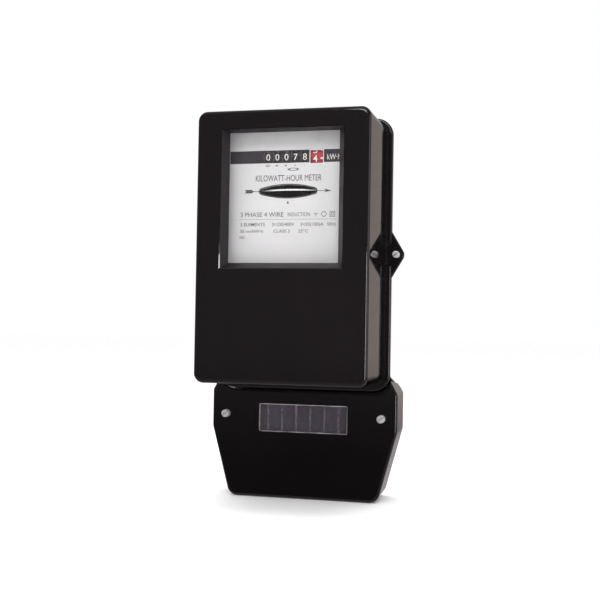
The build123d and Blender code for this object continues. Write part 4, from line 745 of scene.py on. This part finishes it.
def rim_loops(shape, angles, half_height, depth):
    """Four rows of vertices on, over and under the rim of the upper disc, as deep as depth each way."""
    return [
        [shape.verts.new((rotor_axis.x + radius * sin(angle), rotor_axis.y - radius * cos(angle), DISC_Z + z))
         for angle in angles]
        for radius, z in (
            (DISC_RADIUS - depth, -half_height), (DISC_RADIUS - depth, half_height),
            (DISC_RADIUS + depth, half_height), (DISC_RADIUS + depth, -half_height))
    ]


def rim_mark(width, half_height, turn, depth):
    """A thin curved patch on the rim of the disc."""
    shape = bmesh.new()
    columns = max(2, int(width / MM) + 1)
    angles = [turn + (k / (columns - 1) - 0.5) * width / DISC_RADIUS for k in range(columns)]
    skin(shape, list(zip(*rim_loops(shape, angles, half_height, depth))))
    return shape


GRADUATION = 2 * pi / 100
BAND_STEPS = 288
# a white band round the rim of the upper disc: partly the disc's painted rim, partly a painted highlight for
# the light the aluminium catches
band = bmesh.new()
band_turns = [2 * pi * k / BAND_STEPS for k in range(BAND_STEPS)]
skin(band, rim_loops(band, band_turns, DISC_HALF - 0.02 * MM, 0.012 * MM), close=True)
piece("disc_rim_band", band, "rotor", "aluminium_sheet", rim_paint_and_highlight)
graduations = [rim_mark(0.14 * MM, 0.45 * MM, GRADUATION * k, 0.02 * MM) for k in range(100)]
piece("disc_graduations", joined(graduations), "rotor", "aluminium_sheet", ink_grey)
DISC_MARK_TURN = radians(140)
disc_mark = rim_mark(9 * MM, DISC_HALF - 0.05 * MM, DISC_MARK_TURN, 0.03 * MM)
piece("disc_mark", disc_mark, "rotor", "aluminium_sheet", ink_black)

# ------------------------------------------------------------------ driving elements


SHEETS = 20
SHEET_SHARE = 0.86  # of the pitch, the rest is the gap
TAPE_TURNS = 5
BOBBIN_CHEEK = 1.3 * MM
WIRE_RADIUS = 1.42 * MM
WIRE_SIDES = 10
WIRE_TURNS = 4
WIRE_CORNER = 2.6 * MM


def laminated(node, axis):
    """Replaces a solid core by a stack of thin sheets of its own outline, side by side along an axis."""
    low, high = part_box(node)
    outline = bmesh.new()
    outline.from_mesh(frame["nodes"][node].data)
    bmesh.ops.remove_doubles(outline, verts=outline.verts, dist=1e-7)
    outline.faces.ensure_lookup_table()
    unwanted = [
        face for face in outline.faces
        if abs(face.normal[axis]) < 0.9 or abs(face.calc_center_median()[axis] - high[axis]) > 1e-5
    ]
    bmesh.ops.delete(outline, geom=unwanted, context="FACES")
    pitch = (high[axis] - low[axis]) / SHEETS
    sheets = []
    for k in range(SHEETS):
        sheet = outline.copy()
        drop = Vector((0, 0, 0))
        drop[axis] = -k * pitch
        bmesh.ops.translate(sheet, verts=sheet.verts, vec=drop)
        drop[axis] = -pitch * SHEET_SHARE
        sheets.append(thickened(sheet, drop))
    outline.free()
    piece(f"{node}_sheets", joined(sheets), "base", "laminations", replaced=(node,))


def level_loop(shape, centre, half, corner, z):
    """A ring of vertices round a rounded rectangle that lies level."""
    return [shape.verts.new((centre.x + x, centre.y + y, z)) for x, y in rounded(*half, corner, 5)]


def level_ring(centre, inner, outer, profile, corner):
    """A ring round an upright limb, whose outside follows profile: pairs of height and inset."""
    shape = bmesh.new()
    bottom, top = profile[0][0], profile[-1][0]
    loops = [level_loop(shape, centre, inner, 0.4 * MM, z) for z in (top, bottom)]
    for z, inset in profile:
        loops.append(level_loop(shape, centre, (outer[0] - inset, outer[1] - inset), corner, z))
    skin(shape, loops, close=True)
    return shape


def voltage_coil(side, across_y):
    """A fine-wire coil: two moulded cheeks and a winding under lapped tape."""
    node = f"voltage_coil_{side}"
    low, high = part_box(node)
    centre = (low + high) / 2
    half = ((high.x - low.x) / 2, (high.y - low.y) / 2)
    hole = (5.6 * MM, 5.1 * MM) if across_y else (5.1 * MM, 5.6 * MM)
    chamfer = 0.3 * MM
    cheeks = []
    for z in (low.z, high.z - BOBBIN_CHEEK):
        top = z + BOBBIN_CHEEK
        edge = [(z, chamfer), (z + chamfer, 0.0), (top - chamfer, 0.0), (top, chamfer)]
        cheeks.append(level_ring(centre, hole, half, edge, 2.2 * MM))
    piece(f"{node}_bobbin", joined(cheeks), "base", "coil_wrap", bobbin, replaced=(node,))
    # each turn of tape laps over the one below it, and the winding bellies out at mid height
    profile = []
    first, last = low.z + BOBBIN_CHEEK, high.z - BOBBIN_CHEEK
    step = (last - first) / TAPE_TURNS
    for k in range(TAPE_TURNS):
        start = first + step * k
        belly = 0.5 * MM * (2 * (k + 0.5) / TAPE_TURNS - 1) ** 2
        profile += [(start + 0.02 * MM, 1.55 * MM + belly), (start + 0.5 * step, 1.15 * MM + belly),
                    (start + 0.96 * step, 0.95 * MM + belly)]
    piece(f"{node}_winding", level_ring(centre, hole, half, profile, 4.5 * MM), "base", "coil_wrap")


def current_coil(low, high):
    """One thick-wire coil that fills a box: a helix of square-cornered turns round its limb."""
    flat = bmesh.new()
    reach = ((high.x - low.x) / 2 - WIRE_RADIUS, (high.y - low.y) / 2 - WIRE_RADIUS)
    loop = [vertex.co.copy() for vertex in level_loop(flat, (low + high) / 2, reach, WIRE_CORNER, 0)]
    flat.free()
    rise = (high.z - low.z - 2 * WIRE_RADIUS) / WIRE_TURNS
    route = []
    for k in range(len(loop) * WIRE_TURNS + 1):
        place = loop[k % len(loop)].copy()
        place.z = low.z + WIRE_RADIUS + rise * k / len(loop)
        route.append(place)
    shape = bmesh.new()
    rings = []
    for k, place in enumerate(route):
        along = (route[min(k + 1, len(route) - 1)] - route[max(k - 1, 0)]).normalized()
        side = along.cross(Vector((0, 0, 1))).normalized()
        above = side.cross(along)
        rings.append([
            shape.verts.new(place + WIRE_RADIUS * (cos(turn) * side + sin(turn) * above))
            for turn in (2 * pi * j / WIRE_SIDES for j in range(WIRE_SIDES))
        ])
    skin(shape, rings)
    return shape


def islands(node):
    """The boxes of the separate solids of a CAD node, left to right."""
    shape = bmesh.new()
    shape.from_mesh(frame["nodes"][node].data)
    bmesh.ops.remove_doubles(shape, verts=shape.verts, dist=1e-7)
    left = set(shape.verts)
    boxes = []
    while left:
        found, edge = set(), [next(iter(left))]
        while edge:
            vertex = edge.pop()
            if vertex in found:
                continue
            found.add(vertex)
            edge += [e.other_vert(vertex) for e in vertex.link_edges]
        left -= found
        places = [vertex.co for vertex in found]
        boxes.append((Vector(map(min, *places)), Vector(map(max, *places))))
    shape.free()
    return sorted(boxes, key=lambda box: (round(box[0].x, 5), round(box[0].y, 5)))


for side in ("left", "right", "rear"):
    stack_axis = 1 if side == "rear" else 0
    laminated(f"voltage_core_{side}", stack_axis)
    laminated(f"current_core_{side}", stack_axis)
    voltage_coil(side, side == "rear")
    node = f"current_coils_{side}"
    coils = [current_coil(low, high) for low, high in islands(node)]
    piece(f"{node}_wire", joined(coils), "base", "copper", replaced=(node,), smooth=True)

# ------------------------------------------------------------------ terminal window

window_low, window_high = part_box("terminal_window")
WINDOW_FRONT = window_low.y
WINDOW_MID_Z = (window_low.z + window_high.z) / 2
WINDOW_LIP = 1.2 * MM
WINDOW_BEVEL = 1.9 * MM
EDGE_DEPTH = 0.25 * MM
LENS_FACE = WINDOW_FRONT + 0.7 * MM
LENS_SHOULDER = window_high.y - 1.0 * MM
window_half = ((window_high.x - window_low.x) / 2, (window_high.z - window_low.z) / 2)
opening_half = (window_half[0] - WINDOW_LIP, window_half[1] - WINDOW_LIP)
bevel_half = (opening_half[0] - WINDOW_BEVEL, opening_half[1] - WINDOW_BEVEL)
rim_half = (opening_half[0] - 0.5 * MM, opening_half[1] - 0.5 * MM)


def upright_loops(shape, rows, x=0.0):
    """Rings of vertices that face forward, level with the window's middle.
    Each row gives the half sizes, the corner radius in mm, and Y."""
    return [
        [shape.verts.new((x + across, y, WINDOW_MID_Z + up)) for across, up in rounded(*half, corner * MM, 4)]
        for half, corner, y in rows
    ]


lens = bmesh.new()
skin(lens, upright_loops(lens, (
    (window_half, 0.6, window_high.y), (window_half, 0.6, LENS_SHOULDER), (opening_half, 0.5, LENS_SHOULDER),
    (opening_half, 0.5, WINDOW_FRONT + EDGE_DEPTH), (bevel_half, 0.4, LENS_FACE),
)))
piece("terminal_window_lens", lens, "terminal_cover", "smoked_plastic", replaced=("terminal_window",))

# the edge of the clear moulding gathers light, shown as a painted glow: a pale rim, and ribs on its face
rim = bmesh.new()
skin(rim, upright_loops(rim, (
    (opening_half, 0.5, WINDOW_FRONT + EDGE_DEPTH), (opening_half, 0.5, WINDOW_FRONT),
    (rim_half, 0.5, WINDOW_FRONT), (bevel_half, 0.4, LENS_FACE - 0.02 * MM), (bevel_half, 0.4, LENS_FACE),
)), close=True)
piece("terminal_window_rim", rim, "terminal_cover", "smoked_plastic", window_edge_glow)
RIB_PITCH = 11.9 * MM
rib_height = bevel_half[1] - 0.5 * MM
ribs = bmesh.new()
for k in range(-3, 3):
    skin(ribs, upright_loops(ribs, (
        ((0.75 * MM, rib_height), 0.2, LENS_FACE + 0.01 * MM),
        ((0.45 * MM, rib_height), 0.2, LENS_FACE - 0.10 * MM),
    ), (k + 0.5) * RIB_PITCH))
piece("terminal_window_ribs", ribs, "terminal_cover", "smoked_plastic", window_rib_glow)

# ------------------------------------------------------------------ camera and light

CAMERA_PLACE = Vector((0.20459, -0.85441, 0.04568))
CAMERA_YAW = radians(14.467)
CAMERA_PITCH = radians(1.39)
CAMERA_ROLL = radians(0.969)
camera_data = bpy.data.cameras.new("camera")
camera_data.lens = 60.89
camera_data.sensor_width = 36.0
camera_data.clip_start = 0.01
camera = bpy.data.objects.new("camera", camera_data)
bpy.context.scene.collection.objects.link(camera)
bpy.context.scene.camera = camera
level_right = Vector((cos(CAMERA_YAW), sin(CAMERA_YAW), 0))
level_forward = Vector((-sin(CAMERA_YAW), cos(CAMERA_YAW), 0))
forward = cos(CAMERA_PITCH) * level_forward + Vector((0, 0, sin(CAMERA_PITCH)))
level_up = level_right.cross(forward)
right = cos(CAMERA_ROLL) * level_right + sin(CAMERA_ROLL) * level_up
up = -sin(CAMERA_ROLL) * level_right + cos(CAMERA_ROLL) * level_up
camera_axes = Matrix((right, up, -forward)).transposed()
camera.matrix_world = Matrix.Translation(CAMERA_PLACE) @ camera_axes.to_4x4()

bpy.context.scene.view_settings.view_transform = "Standard"


def area_light(name, place, target, size, power):
    """A soft rectangular lamp at place, aimed at target."""
    data = bpy.data.lights.new(name, "AREA")
    data.shape = "RECTANGLE"
    data.size, data.size_y = size
    data.energy = power
    lamp = bpy.data.objects.new(name, data)
    bpy.context.scene.collection.objects.link(lamp)
    lamp.location = place
    lamp.visible_camera = False
    aim = Vector(target) - Vector(place)
    lamp.rotation_euler = aim.to_track_quat("-Z", "Y").to_euler()
    return lamp


MIDDLE = (0, -0.10, 0.10)
SKY = (1.08, 1.075, 1.08)
area_light("key", (0.15, -1.15, 0.85), MIDDLE, (0.7, 0.45), 6.5)
area_light("strip", (1.0, -0.75, -0.06), (0.07, -0.12, -0.06), (0.10, 0.48), 2.6)
top_light = area_light("top", (0.0, 0.1, 1.3), MIDDLE, (1.2, 1.2), 12)
top_light.visible_glossy = False


def world_light():
    """A white studio. In reflections it is dim in front of the meter and towards the floor, brighter
    behind it on the right, with soft panels overhead and at the far right."""
    world = bpy.data.worlds.new("studio")
    bpy.context.scene.world = world
    world.use_nodes = True
    nodes, links = world.node_tree.nodes, world.node_tree.links
    nodes.clear()
    path = nodes.new("ShaderNodeLightPath")
    place = nodes.new("ShaderNodeTexCoord")
    split = nodes.new("ShaderNodeSeparateXYZ")
    links.new(place.outputs["Generated"], split.inputs[0])

    def ramp(axis, low, high, start=0.0, end=1.0):
        node = nodes.new("ShaderNodeMapRange")
        links.new(split.outputs[axis], node.inputs["Value"])
        for key, number in (("From Min", low), ("From Max", high), ("To Min", start), ("To Max", end)):
            node.inputs[key].default_value = number
        return node.outputs["Result"]

    def mix(factor, a, b, blend_type="MIX"):
        node = nodes.new("ShaderNodeMix")
        node.data_type = "RGBA"
        node.blend_type = blend_type
        for index, value in ((0, factor), (6, a), (7, b)):
            if isinstance(value, bpy.types.NodeSocket):
                links.new(value, node.inputs[index])
            elif index:
                node.inputs[index].default_value = (*value, 1.0)
            else:
                node.inputs[index].default_value = value
        return node.outputs[2]

    def times(a, b):
        node = nodes.new("ShaderNodeMath")
        node.operation = "MULTIPLY"
        links.new(a, node.inputs[0])
        links.new(b, node.inputs[1])
        return node.outputs[0]

    left_side = mix(ramp("X", -0.75, -0.35), (0.20, 0.185, 0.195), (0.50, 0.47, 0.48))
    far = mix(ramp("X", -0.05, 0.15), left_side, (0.42, 0.36, 0.33))
    mirrored = mix(ramp("Y", -0.25, 0.75), (0.225, 0.198, 0.217), far)
    # a dark band low on the horizon, in front and at the right, and the pale floor below it
    band = mix(ramp("Z", -0.13, -0.03), (0.20, 0.20, 0.20), (1, 1, 1))
    band = mix(ramp("Z", -0.32, -0.20, 1.0, 0.0), band, (1.5, 1.5, 1.5))
    band = mix(times(ramp("Y", 0.3, 0.6), ramp("X", -0.05, 0.12, 1.0, 0.0)), band, (1.1, 1.1, 1.1))
    mirrored = mix(1.0, mirrored, band, "MULTIPLY")
    side_panel = times(times(ramp("X", 0.90, 0.97), ramp("Y", -0.40, -0.20)), ramp("Z", -0.25, 0.0))
    mirrored = mix(side_panel, mirrored, (1.25, 1.12, 1.22))
    mirrored = mix(ramp("Z", 0.70, 0.95), mirrored, (0.52, 0.51, 0.52))

    def background(colour):
        node = nodes.new("ShaderNodeBackground")
        if isinstance(colour, bpy.types.NodeSocket):
            links.new(colour, node.inputs["Color"])
        else:
            node.inputs["Color"].default_value = (*colour, 1.0)
        return node.outputs[0]

    glossy = nodes.new("ShaderNodeMixShader")
    links.new(path.outputs["Is Glossy Ray"], glossy.inputs[0])
    links.new(background(SKY), glossy.inputs[1])
    links.new(background(mirrored), glossy.inputs[2])
    seen = nodes.new("ShaderNodeMixShader")
    links.new(path.outputs["Is Camera Ray"], seen.inputs[0])
    links.new(glossy.outputs[0], seen.inputs[1])
    links.new(background((1, 1, 1)), seen.inputs[2])
    output = nodes.new("ShaderNodeOutputWorld")
    links.new(seen.outputs[0], output.inputs["Surface"])


world_light()


FLOOR_MIDDLE_Y = -0.03
FLOOR_SIDES = 48


def studio_floor():
    """A pale sheet under the meter, large enough to reach past every view."""
    shape = bmesh.new()
    bottom = cad_box[0].z
    turns = [2 * pi * k / FLOOR_SIDES for k in range(FLOOR_SIDES)]
    rings = [
        [shape.verts.new((radius * cos(turn), radius * sin(turn) + FLOOR_MIDDLE_Y, bottom)) for turn in turns]
        for radius in (0.4, 0.9, 1.8, 4.0, 9.0)
    ]
    middle = shape.verts.new((0, FLOOR_MIDDLE_Y, bottom))
    for k in range(FLOOR_SIDES):
        shape.faces.new((middle, rings[0][k], rings[0][(k + 1) % FLOOR_SIDES]))
    for one, two in zip(rings, rings[1:]):
        for k in range(FLOOR_SIDES):
            after = (k + 1) % FLOOR_SIDES
            shape.faces.new((one[k], one[after], two[after], two[k]))
    mesh = bpy.data.meshes.new("studio_floor")
    bmesh.ops.recalc_face_normals(shape, faces=shape.faces)
    shape.to_mesh(mesh)
    shape.free()
    mesh.materials.append(stage_paper())
    floor = bpy.data.objects.new("studio_floor", mesh)
    bpy.context.scene.collection.objects.link(floor)
    floor.visible_glossy = False


studio_floor()
